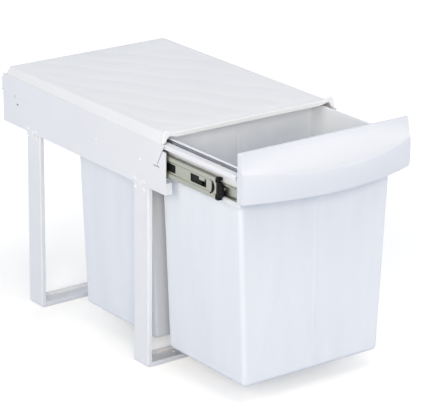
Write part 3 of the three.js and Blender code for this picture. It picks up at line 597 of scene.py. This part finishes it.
def side_panel():
    outer, inner, chamfer = PANEL.outer, PANEL.inner, PANEL.chamfer
    front, rear, bottom = PANEL.front, PANEL.rear, PANEL.bottom
    half, lean, low = PANEL.tab_half, PANEL.tab_lean, PANEL.bottom - PANEL.tab_drop
    tabs = [(y + dy, z) for y in FEET_Y for dy, z in
            ((-half, bottom), (-half + lean, low), (half - lean, low), (half, bottom))]
    slit_y = CORNER.foot_y - CORNER.slit
    rise = (CORNER.flap_top - CORNER.foot_z) / (PANEL.top_front - CORNER.foot_z)
    flap_y = slit_y + (CORNER.top_y - CORNER.foot_y) * rise
    slot_top = CORNER.slot_z[1]
    bend_y = rear - PANEL.rear_bend - 1
    outline = [
        (front, bottom), *tabs, (bend_y, bottom), (bend_y, PANEL.top_rear),
        (CORNER.top_y, PANEL.top_front), (CORNER.foot_y, CORNER.foot_z),
        (CORNER.foot_y, slot_top), (slit_y, slot_top), (slit_y, CORNER.foot_z),
        (flap_y, CORNER.flap_top), (front, CORNER.flap_top),
    ]
    plate = prism(outline, "x", -outer, -inner)
    past = 2
    through = (-outer - past, -inner + past)
    slots = [(CORNER.slot, CORNER.slot_z)]
    slots += [((y - dy, y + dy), (z - dz, z + dz)) for y, z, dy, dz in REAR_KEYHOLES]
    tools = [block(through, y, z) for y, z in slots]
    for y in FEET_Y:
        tools.append(prism(circle((y, CLINCH.centre_z), RIVET.hole), "x", *through))
        for dy in (-CLINCH.y, CLINCH.y):
            for dz in (-CLINCH.z, CLINCH.z):
                at = (y + dy, CLINCH.centre_z + dz)
                mouth = [(CLINCH.mouth + 0.4, -outer - 0.4), (CLINCH.mouth, -outer),
                         (CLINCH.floor, -outer + CLINCH.depth)]
                tools.append(turned(mouth, "x", at, 20))
    for y in SLIDE_RIVETS_Y:
        tools.append(prism(circle((y, SLIDE_RIVETS_Z), SLIDE_RIVET_HOLE), "x", *through))
    plate = cut(plate, tools)
    crease = [(-outer - 0.1, CREASE.z - CREASE.width), (-outer + CREASE.depth, CREASE.z),
              (-outer - 0.1, CREASE.z + CREASE.width)]
    plate = cut(plate, [prism(crease, "y", CREASE.front, CREASE.rear)])
    back_line = [(-outer, bend_y - 1), (-outer, rear), (-outer + PANEL.rear_return, rear)]
    back = bent(back_line, -SHEET, "z", bottom, PANEL.top_rear - chamfer, PANEL.rear_bend)
    rivet_at = (-TIE.rivet_x, (TIE.bottom + TIE.top) / 2)
    back = cut(back, [prism(circle(rivet_at, RIVET.hole), "y", *about(rear, 5))])
    tab_z = (FRONT_TAB.bottom, FRONT_TAB.top)
    tab = block((-outer, -outer + FRONT_TAB.reach), (front, front + SHEET), tab_z)
    return join(plate, back, tab)


def dome(axis, at, seat, radius, height, sign, steps=20):
    """A rivet head that stands up from its seat by height, in the direction sign."""
    arc = [(radius * math.cos(t), height * math.sin(t)) for t in (i * math.pi / 12 for i in range(7))]
    profile = [(radius, seat - sign * 0.25)] + [(r, seat + sign * h) for r, h in arc]
    return turned(profile, axis, at, steps)


def rivets():
    centre_z, tie_z = CLINCH.centre_z, (TIE.bottom + TIE.top) / 2
    outer, rear = PANEL.outer, PANEL.rear + GAP + SHEET
    for y, foot in zip(FEET_Y, ("front", "rear")):
        def riveted(y=y):
            head = dome("x", (y, centre_z), -outer, RIVET.head, RIVET.height, -1)
            inside = -FOOT.outer + FOOT.sheet
            tail = dome("x", (y, centre_z), inside, RIVET.tail, RIVET.height, 1)
            return gathered([head, tail])
        pair(f"*_{foot}_rivet_heads", riveted, WHITE, "frame", [f"*_{foot}_foot_rivet"], edge=0)

    def tie_head():
        return dome("y", (-TIE.rivet_x, tie_z), rear, RIVET.head, RIVET.height, 1)

    pair("*_tie_rivet_heads", tie_head, WHITE, "frame", ["*_tie_bar_rivet"], edge=0)
    for n, y in enumerate(SLIDE_RIVETS_Y):
        def pressed(y=y):
            ring = [(2.9, -outer + 0.4), (2.9, -outer - 0.5), (2.5, -outer - 0.8), (1.7, -outer - 0.8),
                    (1.3, -outer - 0.1), (0, -outer - 0.1)]
            return turned(ring, "x", (y, SLIDE_RIVETS_Z), 20)
        pair(f"*_slide_rivet_head_{n + 1}", pressed, WHITE, "frame", [f"*_slide_rivet_{n + 1}"], edge=0)


# ---- Feet and tie bar ----------------------------------------------------------------


def foot(y):
    """A channel bent into a U, its flanges turned inwards, with two floor holes."""
    outer, top, sheet, half = FOOT.outer, FOOT.top, FOOT.sheet, FOOT.width / 2
    path = [(-outer, top), (-outer, 0), (outer, 0), (outer, top)]
    channel = rounded([(-half + sheet / 2, FOOT.flange), (-half + sheet / 2, sheet / 2),
                       (half - sheet / 2, sheet / 2), (half - sheet / 2, FOOT.flange)], 1.6, 3)
    profile = [*shifted(channel, sheet / 2), *reversed(shifted(channel, -sheet / 2))]
    bend, steps = 5.0, 6

    def leg(across, depth):
        return [(p.x, y + across, p.y) for p in rounded(shifted(path, depth), max(bend - depth, 0.6), steps)]

    lines = [leg(across, depth) for across, depth in profile]
    rings = [list(ring) for ring in zip(*lines)]
    body = skin(rings)
    places = [(side * FOOT.hole_x, y + FOOT.hole_y) for side in (-1, 1)]
    return cut(body, [prism(circle(at, FOOT.hole_r), "z", -3, 6) for at in places])


def tie_bar():
    y = PANEL.rear + GAP
    depth, lip = TIE.depth, TIE.lip
    line = [(y + depth, TIE.bottom + lip), (y + depth - 1, TIE.bottom), (y, TIE.bottom),
            (y, TIE.top), (y + depth - 1, TIE.top), (y + depth, TIE.top - lip)]
    return bent(line, -SHEET, "x", -TIE.half, TIE.half, 1.0)


# ---- Slides --------------------------------------------------------------------------


def slide_x(depth):
    return -PANEL.inner + depth


def slide_span(*depths):
    return [slide_x(depth) for depth in depths]


def member(section, thick, start, end, radius=0.9):
    whole = [*section, *[(depth, -height) for depth, height in reversed(section)]]
    line = [(slide_x(depth), SLIDE_Z + height) for depth, height in whole]
    return bent(line, thick, "y", start, end, radius, 4)


def outer_member():
    start, end = extent("left_outer_slide", "y")
    body = member(OUTER, SLIDE_SHEET, start, end)
    through, slot_z = slide_span(-2, 3), about(SLIDE_Z, OUTER_SLOTS.half_height)
    slots = [block(through, about(y, OUTER_SLOTS.half_length), slot_z) for y in OUTER_SLOTS.y]
    return cut(body, slots)


def middle_member():
    """The middle member, with windows, a lanced tab and a crescent slot near its end."""
    start, end = extent("left_middle_slide", "y")
    body = member(MIDDLE, SLIDE_SHEET, start, end)
    through, window_z = slide_span(1.5, 7), about(SLIDE_Z, WINDOWS.half_height)
    windows = [(start + low, start + high) for low, high in WINDOWS.y]
    tools = [prism(rectangle(y, window_z, WINDOWS.corner, 4), "x", *through) for y in windows]
    tip, half, steps = start + CRESCENT.y, CRESCENT.half_height, 14

    def arc(y, bulge, order):
        shares = [order * mix(-1, 1, i / steps) for i in range(steps + 1)]
        return [(y - bulge * (1 - share ** 2), SLIDE_Z + half * share) for share in shares]

    front = arc(tip, CRESCENT.front_bulge, 1)
    rear = arc(tip + CRESCENT.width, CRESCENT.rear_bulge, -1)
    tools.append(prism([*front, *rear], "x", *through))
    web, tab_y = MIDDLE[-1][0], start + LANCED_TAB.y
    tab_z = (SLIDE_Z + LANCED_TAB.foot, SLIDE_Z + LANCED_TAB.top)
    tab = block(slide_span(web, web + LANCED_TAB.thick), (tab_y, tab_y + LANCED_TAB.length), tab_z)
    return join(cut(body, tools), tab)


def inner_member():
    start, end = extent("left_inner_slide", "y")
    body = member(INNER, -SLIDE_SHEET, start, end)
    through, slot_z = slide_span(10, 15), about(SLIDE_Z, INNER_SLOTS.half_height)
    holes = [prism(circle((y, SLIDE_Z), RAIL_SCREWS.hole), "x", *through) for y in RAIL_SCREWS.y]
    outlines = [rectangle(about(y, INNER_SLOTS.half_length), slot_z, INNER_SLOTS.corner, 5)
                for y in INNER_SLOTS.y]
    return cut(body, holes + [prism(outline, "x", *through) for outline in outlines])


def ball(centre, radius):
    turns = [i * math.pi / 8 for i in range(9)]
    profile = [(radius * math.sin(t), centre[1] - radius * math.cos(t)) for t in turns]
    return turned(profile, "y", (centre[0], centre[2]), 12)


def cages():
    """The ball cages: black strips, and bright balls along both of their edges."""
    for kind, c in CAGES.items():
        start, end = extent(f"left_{kind}_ball_cage", "y")

        def strip(c=c, start=start, end=end):
            return member(((c.reach, c.half), (c.web, c.half)), 0.6, start, end, 0.6)

        def balls(c=c, start=start, end=end):
            places = [mix(start, end, (n + 0.5) / c.count) for n in range(c.count)]
            return gathered([ball((slide_x(c.depth), y, SLIDE_Z + side * (c.half - 0.3)), c.radius)
                             for y in places for side in (-1, 1)])

        nodes, rides = [f"*_{kind}_ball_cage"], f"*_{kind}_cage"
        pair(f"*_{kind}_cage_strip", strip, BLACK, rides, nodes, edge=0.12)
        pair(f"*_{kind}_cage_balls", balls, BRIGHT, rides, nodes, edge=0)


def bumper():
    """The middle member's plastic end: two nubs, a toothed block with a core between the
    inner member's lips, and a tongue that closes the crescent slot from behind."""
    tip, back = extent("left_slide_bumper", "y")
    half, nub, behind = BUMPER.half, BUMPER.nub, BUMPER.behind
    nub_x, nub_y = slide_span(2.9, BUMPER.reach), (back - BUMPER.nub_length, back)
    nubs = [block(nub_x, nub_y, (SLIDE_Z + low, SLIDE_Z + low + nub), 1.2) for low in (-half, half - nub)]
    teeth = [(tip + 2, -11.2), (tip, -9), (tip + 1.8, -5.6), (tip + 0.4, -2.6), (tip + 1.8, 0.4),
             (tip, 4), (tip + 1.5, 8), (tip + 2.5, 11.2)]
    face, block_half = back - 2.4, BUMPER.block_half
    outline = [(y, SLIDE_Z + h) for y, h in ((face, -block_half), *teeth, (face, block_half))]
    body = prism(outline, "x", *slide_span(3.1, BUMPER.inside))
    core_y, core_z = (tip + 0.6, back - 2), about(SLIDE_Z, BUMPER.core_half)
    core = block(slide_span(*BUMPER.core), core_y, core_z, 1.5)
    tongue_y, tongue_z = (tip + 6, back + BUMPER.tongue_past), about(SLIDE_Z, BUMPER.tongue_half)
    tongue = block(slide_span(behind, behind + 0.8), tongue_y, tongue_z)
    struts = [block(slide_span(4.4, 6.4), (back - 6, back - 2), (SLIDE_Z + low, SLIDE_Z + low + 5))
              for low in (-14.5, 9.5)]
    ribs = [block(slide_span(2.5, 4), (y, y + 1.4), about(SLIDE_Z, 9.5)) for y in (tip + 4, tip + 8.5)]
    return join(body, core, tongue, *struts, *nubs, *ribs)


def lever():
    """The release lever: a hub on its pivot, and an arm with a ribbed end."""
    start, end = extent("left_release_lever", "y")
    pivot = end - LEVER.hub
    arm = [(pivot, SLIDE_Z - 3.2), (pivot, SLIDE_Z + 3.2), (start, SLIDE_Z + 2.2), (start, SLIDE_Z - 2.2)]
    deep, rib_x = slide_span(*LEVER.arm), slide_span(*LEVER.ribs)
    body = join(prism(arm, "x", *deep), prism(circle((pivot, SLIDE_Z), LEVER.hub, 28), "x", *deep))
    ribs = []
    for n in range(LEVER.rib_count):
        first, step = LEVER.rib_first, LEVER.rib_pitch * n
        rib_y = (start + first + step, start + first + 1 + step)
        ribs.append(block(rib_x, rib_y, about(SLIDE_Z, LEVER.rib_half)))
    return cut(body, ribs)


def pan_head(axis, at, seat, tip, sign, radius=3.8, height=2.2):
    """A pan-head screw's head with a cross recess, and its shank down to tip."""
    shape = ((1, 0), (1, 0.45), (0.93, 0.75), (0.7, 0.93), (0.35, 1), (0, 1))
    profile = [(radius * r, seat + sign * height * h) for r, h in shape]
    head = turned(profile, axis, at, 24)
    low, high = sorted((seat + sign * (height - 1.2), seat + sign * (height + 1)))
    spans = (((-2.1, 2.1), (-0.5, 0.5)), ((-0.5, 0.5), (-2.1, 2.1)))
    for a, b in spans:
        outline = rectangle((at[0] + a[0], at[0] + a[1]), (at[1] + b[0], at[1] + b[1]))
        head = cut(head, [prism(outline, axis, low, high)])
    shank = prism(circle(at, 1.3, 12), axis, *sorted((seat + sign * 0.3, tip)))
    return gathered([head, shank])


def screws():
    seat, tip = slide_x(RAIL_SCREWS.seat), slide_x(RAIL_SCREWS.tip)
    for n, y in enumerate(RAIL_SCREWS.y):
        def rail_screw(y=y):
            return pan_head("x", (y, SLIDE_Z), seat, tip, -1)

        pair(f"*_rail_screw_{n + 1}", rail_screw, ZINC, "drawer", [f"*_drawer_screw_{n + 1}"], edge=0)
    inside = CROSS.front + SHEET + GAP
    for n, x in enumerate(BOSS.x):
        def handle_screw(x=x):
            return pan_head("y", (-x, BOSS.z), inside, BOSS.screw_tip, 1)

        pair(f"*_handle_screw_{n + 1}", handle_screw, BRIGHT, "drawer", [f"*_front_screw_{n + 1}"], edge=0)


# ---- Drawer --------------------------------------------------------------------------


def drawer_rail():
    """A side rail: lip, flange, joggle and wall."""
    start, end = extent("left_drawer_rail", "y")
    lip, flange, wall = -RAIL.lip_x, -RAIL.flange_x, -RAIL.wall_x
    line = [(lip, RAIL.lip_foot), (lip, RAIL.top), (flange, RAIL.top),
            (flange, RAIL.joggle), (wall, RAIL.joggle - 2.6), (wall, RAIL.foot)]
    return bent(line, -SHEET, "y", start, end, 1.3)


def weld_marks():
    """A row of weld marks on a side rail's flange."""
    start, end = extent("left_drawer_rail", "y")
    places = [start + WELDS.first + WELDS.pitch * n for n in range(WELDS.count)]
    return gathered([dome("z", (WELDS.x, y), RAIL.top, WELDS.radius, WELDS.height, 1, 16)
                     for y in places if y < end - WELDS.margin])


def carrier():
    """A ladder of upright strips around the bins' rims, with a bridge between them."""
    half, wall, low, top = CARRIER.half, CARRIER.wall, CARRIER.foot, CARRIER.top
    front, rear = extent("bin_carrier", "y")
    bridge = (extent("front_bin", "y")[1], extent("rear_bin", "y")[0])
    body = prism(rectangle((-half, half), (front, rear), CARRIER.corner), "z", low, top)
    inner, radius = half - wall, CARRIER.corner - wall
    wells = [(front + wall, bridge[0] - wall), (bridge[1] + wall, rear - wall)]
    tools = [prism(rectangle((-inner, inner), y, radius), "z", low - 2, top + 2) for y in wells]
    tools.append(block((-inner, inner), bridge, (low - 2, top - CARRIER.bridge)))
    return cut(body, tools)


def cross_rail(node, front_side):
    """An upright plate with a shelf towards the bins, its ends tabbed to the side rails."""
    start, end = extent(node, "y")
    plate_y, shelf_y = (start, end) if front_side else (end, start)
    inner = plate_y + math.copysign(SHEET, shelf_y - plate_y)
    half, top = CROSS.half, RAIL.top
    line = [(plate_y, CROSS.foot), (plate_y, top), (shelf_y, top)]
    body = bent(line, -SHEET if front_side else SHEET, "x", -half, half, 1.4)
    near, far, tab_z = half - CROSS.tab, RAIL.wall_x - GAP, (CROSS.tab_foot, CROSS.tab_top)
    tabs = [block(sorted((side * near, side * far)), sorted((plate_y, inner)), tab_z) for side in (-1, 1)]
    return join(body, *tabs)


def middle_rail():
    start, end = extent("middle_cross_rail", "y")
    low, high = extent("middle_cross_rail", "z")
    half = extent("middle_cross_rail", "x")[1]
    return bent([(start, low), (start, high), (end, high), (end, low)], -SHEET, "x", -half, half, 1.6)


# ---- Bins ----------------------------------------------------------------------------


def bin_ring(wall_y, z, inset=0.0, rise=0.0):
    """One level ring of a bin's skin, inset from its outer face. wall_y is where the front
    wall ends at the rim, and a bead runs down the middle of the front and rear walls."""
    t = (z - BIN.bottom) / (BIN.rim_top - BIN.bottom)
    half = mix(BIN.half_bottom, BIN.half_top, t) - inset
    front = wall_y + BIN.front_draft * (1 - t) + inset
    rear = wall_y + BIN.depth - BIN.rear_draft * (1 - t) - inset
    ring = rectangle((-half, half), (front, rear), max(BIN.corner - inset, BIN.corner_least), 9)
    quarter = len(ring) // 4
    reach = BIN.bead_half + BIN.bead_slope
    across = [(reach * i / 6, rise * (0.5 + 0.5 * math.cos(math.pi * i / 6)) ** 0.8) for i in range(-6, 7)]
    bead = [Vector((x, front - d)) for x, d in across]
    rear_bead = [Vector((-x, rear + d)) for x, d in across]
    whole = ring[:quarter] + bead + ring[quarter:3 * quarter] + rear_bead + ring[3 * quarter:]
    return [(p.x, p.y, z) for p in whole]


def waste_bin(wall_y):
    """A tapered tub: recessed base, rolled foot, beaded walls and a rounded rim."""
    bottom, top, wall = BIN.bottom, BIN.rim_top, BIN.wall
    foot, width, bead = BIN.foot_round, BIN.rim_width, BIN.bead_height

    def ring(z, inset=0.0, rise=0.0):
        return bin_ring(wall_y, z, inset, rise)

    recess = ((1.4, 7.5), (1.2, 6.6), (0.2, 5.6), (0, 5))
    base = [ring(bottom + up, foot + inset) for up, inset in recess]
    turns = [i * math.pi / 16 for i in range(9)]
    roll = [ring(bottom + foot * (1 - math.cos(t)), foot * (1 - math.sin(t))) for t in turns]
    low, high = BIN.bead_foot, BIN.bead_top
    stations = [(low, 0), (low + 1, 0.3), (low + 2.2, 0.85), (low + 4, 1),
                *[(mix(low, high, i / 6), 1) for i in range(1, 6)],
                (high - 4, 1), (high - 2.2, 0.85), (high - 1, 0.3), (high, 0)]
    outside = [ring(z, 0, bead * share) for z, share in stations]
    lip = BIN.rim_thick / 2
    half_turn = [i * math.pi / 8 - math.pi / 2 for i in range(9)]
    arc = [ring(top - lip + lip * math.sin(t), -(width - lip) - lip * math.cos(t)) for t in half_turn]
    rim = [ring(top - 2 * lip - 1.2, 0), ring(top - 2 * lip - 0.3, -0.2), *arc,
           ring(top, wall - 0.8), ring(top - 0.25, wall - 0.2), ring(top - 0.9, wall)]
    inside = [ring(z, wall, bead * share) for z, share in reversed(stations)]
    bend = foot - wall
    floor_rings = [ring(bottom + wall + bend * (1 - math.cos(t)), wall + bend * (1 - math.sin(t)))
                   for t in reversed(turns)]
    return skin([*base, *roll, *outside, *rim, *inside, *floor_rings])


# ---- Bowed front ---------------------------------------------------------------------


def front_section(x, inset):
    """The front's section in (y, z) at a place across it, or its hollow's where inset."""
    bow = 1 - (abs(x) / FRONT.half) ** 2
    face = mix(FRONT.end_face, FRONT.bow_face, bow) + inset
    ridge = mix(FRONT.end_ridge, FRONT.bow_ridge, bow) - inset / 2
    edge = FRONT.top_edge + inset
    back, low, high = FRONT.back, FRONT.bottom, FRONT.top
    if inset:
        back, low, high = back + 1, low - 1, high - FRONT.edge_thick
    lower = [(face + 1.6, low), (face + 0.5, low + 0.9), (face, low + 3), (face - 0.5, mix(low, ridge, 0.3)),
             (face - 0.7, mix(low, ridge, 0.55)), (face - 0.4, mix(low, ridge, 0.8)), (face, ridge - 4.5),
             (face + 0.35, ridge - 2.4), (face + 1.0, ridge - 0.9)]
    scoop = []
    for i in range(1, 13):
        t = i / 12
        scoop.append((mix(face + 1.0, edge, 1 - (1 - t) ** 1.5), mix(ridge - 0.9, high - 1.2, t ** 1.35)))
    crown = [(edge + 0.3, high - 0.4), (edge + 1.1, high)]
    rounding = [(back - 1.1, high), (back - 0.3, high - 0.4), (back, high - 1.2)]
    return [*lower, *scoop, *crown, *([(back, high)] if inset else rounding), (back, low)]


def drawer_front():
    """The bowed front: a shell open behind and below, with ribs and screw bosses."""
    half, wall = FRONT.half, FRONT.wall

    def shell(width, inset, stations, round_off=0.0):
        rings = []
        for i in range(stations + 1):
            x = mix(-width, width, i / stations)
            rings.append([(x, y, z) for y, z in front_section(x, inset)])
        if round_off:
            middle_y, middle_z = FRONT.middle, mix(FRONT.bottom, FRONT.top, 0.5)
            section = front_section(width, inset)
            ends = []
            for n in range(1, 5):
                t = n * math.pi / 8
                shrink = 1 - (1 - math.cos(t)) * round_off / 20
                x = width - round_off + round_off * math.sin(t)
                ends.append([(x, mix(middle_y, y, shrink), mix(middle_z, z, shrink)) for y, z in section])
            inner = [r for r in rings if abs(r[0][0]) <= width - round_off]
            left = [[(-x, y, z) for x, y, z in ring] for ring in reversed(ends)]
            rings = [*left, *inner, *ends]
        return skin(rings)

    body = cut(shell(half, 0, 72, FRONT.end_round), [shell(half - wall, wall, 48)])
    bosses, ribs, pilots = [], [], []
    for x in sorted(side * x for side in (-1, 1) for x in BOSS.x):
        face = mix(FRONT.end_face, FRONT.bow_face, 1 - (abs(x) / half) ** 2) + wall - 0.4
        bosses.append(prism(circle((x, BOSS.z), BOSS.radius, 28), "y", face, FRONT.back))
        ribs.append(block(about(x, BOSS.rib_half), (face, FRONT.back - 2), BOSS.rib_z))
        pilot = circle((x, BOSS.z), BOSS.pilot, 16)
        pilots.append(prism(pilot, "y", FRONT.back - BOSS.pilot_depth, FRONT.back + 2))
    pilots = gathered(pilots)
    body = join(body, gathered(bosses), gathered(ribs))
    return boolean(body, pilots, "DIFFERENCE")


# ---- Assembly ------------------------------------------------------------------------

cover()
pair("*_panel", side_panel, WHITE, "frame", ["*_side_panel"], edge=0.4)
rivets()
for foot_y, foot_name in zip(FEET_Y, ("front", "rear")):
    piece(f"{foot_name}_foot_channel", foot(foot_y), WHITE, "frame", [f"{foot_name}_foot"], edge=0.3)
piece("tie_channel", tie_bar(), WHITE, "frame", ["rear_tie_bar"])

pair("*_outer_member", outer_member, ZINC, "frame", ["*_outer_slide"], edge=0.2)
pair("*_middle_member", middle_member, ZINC, "*_middle", ["*_middle_slide"], edge=0.2)
pair("*_bumper", bumper, BLACK, "*_middle", ["*_slide_bumper"], edge=0.4)
pair("*_inner_member", inner_member, ZINC, "drawer", ["*_inner_slide"], edge=0.2)
pair("*_lever_arm", lever, BLACK, "*_lever", ["*_release_lever"], edge=0.3)
cages()
screws()

pair("*_rail", drawer_rail, WHITE, "drawer", ["*_drawer_rail"])
pair("*_weld_marks", weld_marks, WHITE, "drawer", ["*_drawer_rail"], edge=0)
piece("carrier_strips", carrier(), BRIGHT, "drawer", ["bin_carrier"], edge=0.25)
piece("front_rail", cross_rail("front_cross_rail", True), WHITE, "drawer", ["front_cross_rail"])
piece("middle_rail", middle_rail(), WHITE, "drawer", ["middle_cross_rail"])
piece("rear_rail", cross_rail("rear_cross_rail", False), WHITE, "drawer", ["rear_cross_rail"])
for bin_name in ("front", "rear"):
    front_wall = extent(f"{bin_name}_bin", "y")[0] + BIN.rim_width
    piece(f"{bin_name}_tub", waste_bin(front_wall), BIN_WHITE, "drawer", [f"{bin_name}_bin"], edge=0)
piece("bowed_front", drawer_front(), FRONT_WHITE, "drawer", ["drawer_front"], edge=0.3)

# ---- Floor, light and camera ---------------------------------------------------------
# Places and sizes are in metres here, angles in degrees and the lens in millimetres.


def white_where_seen(tree, seen, unseen):
    """Shows one shader to the camera and to reflections, and another to all else."""
    path = new_node(tree, "LightPath")
    share = path.outputs["Is Camera Ray"]
    for ray in ("Is Glossy Ray", "Is Transmission Ray"):
        most = new_node(tree, "Math")
        most.operation = "MAXIMUM"
        tree.links.new(share, most.inputs[0])
        tree.links.new(path.outputs[ray], most.inputs[1])
        share = most.outputs[0]
    choice = new_node(tree, "MixShader")
    tree.links.new(share, choice.inputs[0])
    tree.links.new(unseen, choice.inputs[1])
    tree.links.new(seen, choice.inputs[2])
    return choice.outputs[0]


FLOOR_HALF = 6.0
FLOOR_Z = -0.0004
FLOOR_SEEN = (0.88, 0.86, 0.82)  # its colour where the camera sees it
FLOOR_ADDED = ((0.5, 0.36), (1.7, 0.80))  # what it adds there, near the cabinet and far off
FLOOR_PLAIN = (0.46, 0.53, 0.66)  # its colour to everything but the camera and reflections
WARM = (1.09, 1.0, 0.86)  # the lamps' colour in front and at the sides


def floor():
    mesh = bpy.data.meshes.new("floor")
    corners = rectangle((-FLOOR_HALF, FLOOR_HALF), (-FLOOR_HALF, FLOOR_HALF))
    mesh.from_pydata([(p.x, p.y, FLOOR_Z) for p in corners], [], [(0, 1, 2, 3)])
    ground = placed("floor", mesh)
    material = bpy.data.materials.new("floor")
    material.use_nodes = True
    tree = material.node_tree
    tree.nodes.clear()
    seen = new_node(tree, "BsdfDiffuse", Color=(*FLOOR_SEEN, 1))
    plain = new_node(tree, "BsdfDiffuse", Color=(*FLOOR_PLAIN, 1))
    glow, both = new_node(tree, "Emission"), new_node(tree, "AddShader")
    reach = new_node(tree, "VectorMath")
    reach.operation = "LENGTH"
    tree.links.new(new_node(tree, "TexCoord").outputs["Object"], reach.inputs[0])
    (near, low), (far, high) = FLOOR_ADDED
    added = map_range(tree, reach.outputs["Value"], near, far, low, high)
    added.interpolation_type = "SMOOTHSTEP"
    tree.links.new(added.outputs["Result"], glow.inputs["Strength"])
    tree.links.new(seen.outputs[0], both.inputs[0])
    tree.links.new(glow.outputs[0], both.inputs[1])
    out = new_node(tree, "OutputMaterial")
    tree.links.new(white_where_seen(tree, both.outputs[0], plain.outputs[0]), out.inputs["Surface"])
    mesh.materials.append(material)


def sky(colour, strength):
    world = bpy.data.worlds.new("studio")
    bpy.context.scene.world = world
    world.use_nodes = True
    tree = world.node_tree
    tree.nodes.clear()
    fill = new_node(tree, "Background", Color=(*colour, 1), Strength=strength)
    white = new_node(tree, "Background", Color=(1, 1, 1, 1))
    out = new_node(tree, "OutputWorld")
    tree.links.new(white_where_seen(tree, white.outputs[0], fill.outputs[0]), out.inputs["Surface"])


def softbox(name, at, size, share, colour, reflected=True):
    """A square lamp aimed at the cabinet. share is the part of a plain level that it gives
    a surface that faces it. Surfaces don't mirror it where reflected is off."""
    lamp = bpy.data.lights.new(name, "AREA")
    lamp.size = size
    target = Vector((0, 0.05, 0.25))
    distance = (Vector(at) - target).length
    lamp.energy = share * (math.pi * distance) ** 2
    lamp.color = colour
    body = placed(name, lamp)
    body.location = at
    body.visible_glossy = reflected
    body.rotation_euler = (target - Vector(at)).to_track_quat("-Z", "Y").to_euler()


CAMERA = Sizes(at=(-2.12104, -2.79863, 1.48590), elevation=19.495, azimuth=-36.97, roll=0.661, lens=189.3)


def camera():
    lens = bpy.data.cameras.new("camera")
    lens.lens, lens.sensor_width = CAMERA.lens, 36
    lens.clip_start, lens.clip_end = 0.05, 60
    body = placed("camera", lens)
    turn = Matrix.Rotation(math.radians(CAMERA.azimuth), 4, "Z")
    tilt = Matrix.Rotation(math.radians(90 - CAMERA.elevation), 4, "X")
    roll = Matrix.Rotation(math.radians(CAMERA.roll), 4, "Z")
    body.matrix_world = Matrix.Translation(CAMERA.at) @ turn @ tilt @ roll
    bpy.context.scene.camera = body


floor()
sky((0.75, 0.89, 1.14), 0.39)
softbox("lamp_front", (-2.25, -3.0, 1.62), 1.5, 0.39, WARM)
softbox("lamp_side", (-2.9, -0.3, 1.5), 1.6, 0.26, WARM)
softbox("lamp_top", (0.1, -0.9, 2.8), 1.6, 0.18, (1.05, 1.0, 0.91))
softbox("lamp_back", (1.6, 3.0, 1.3), 1.8, 0.19, (1.06, 1.0, 0.90), reflected=False)
softbox("lamp_right", (3.0, -1.7, 1.2), 1.8, 0.27, WARM)
camera()
bpy.context.scene.view_settings.view_transform = "Standard"
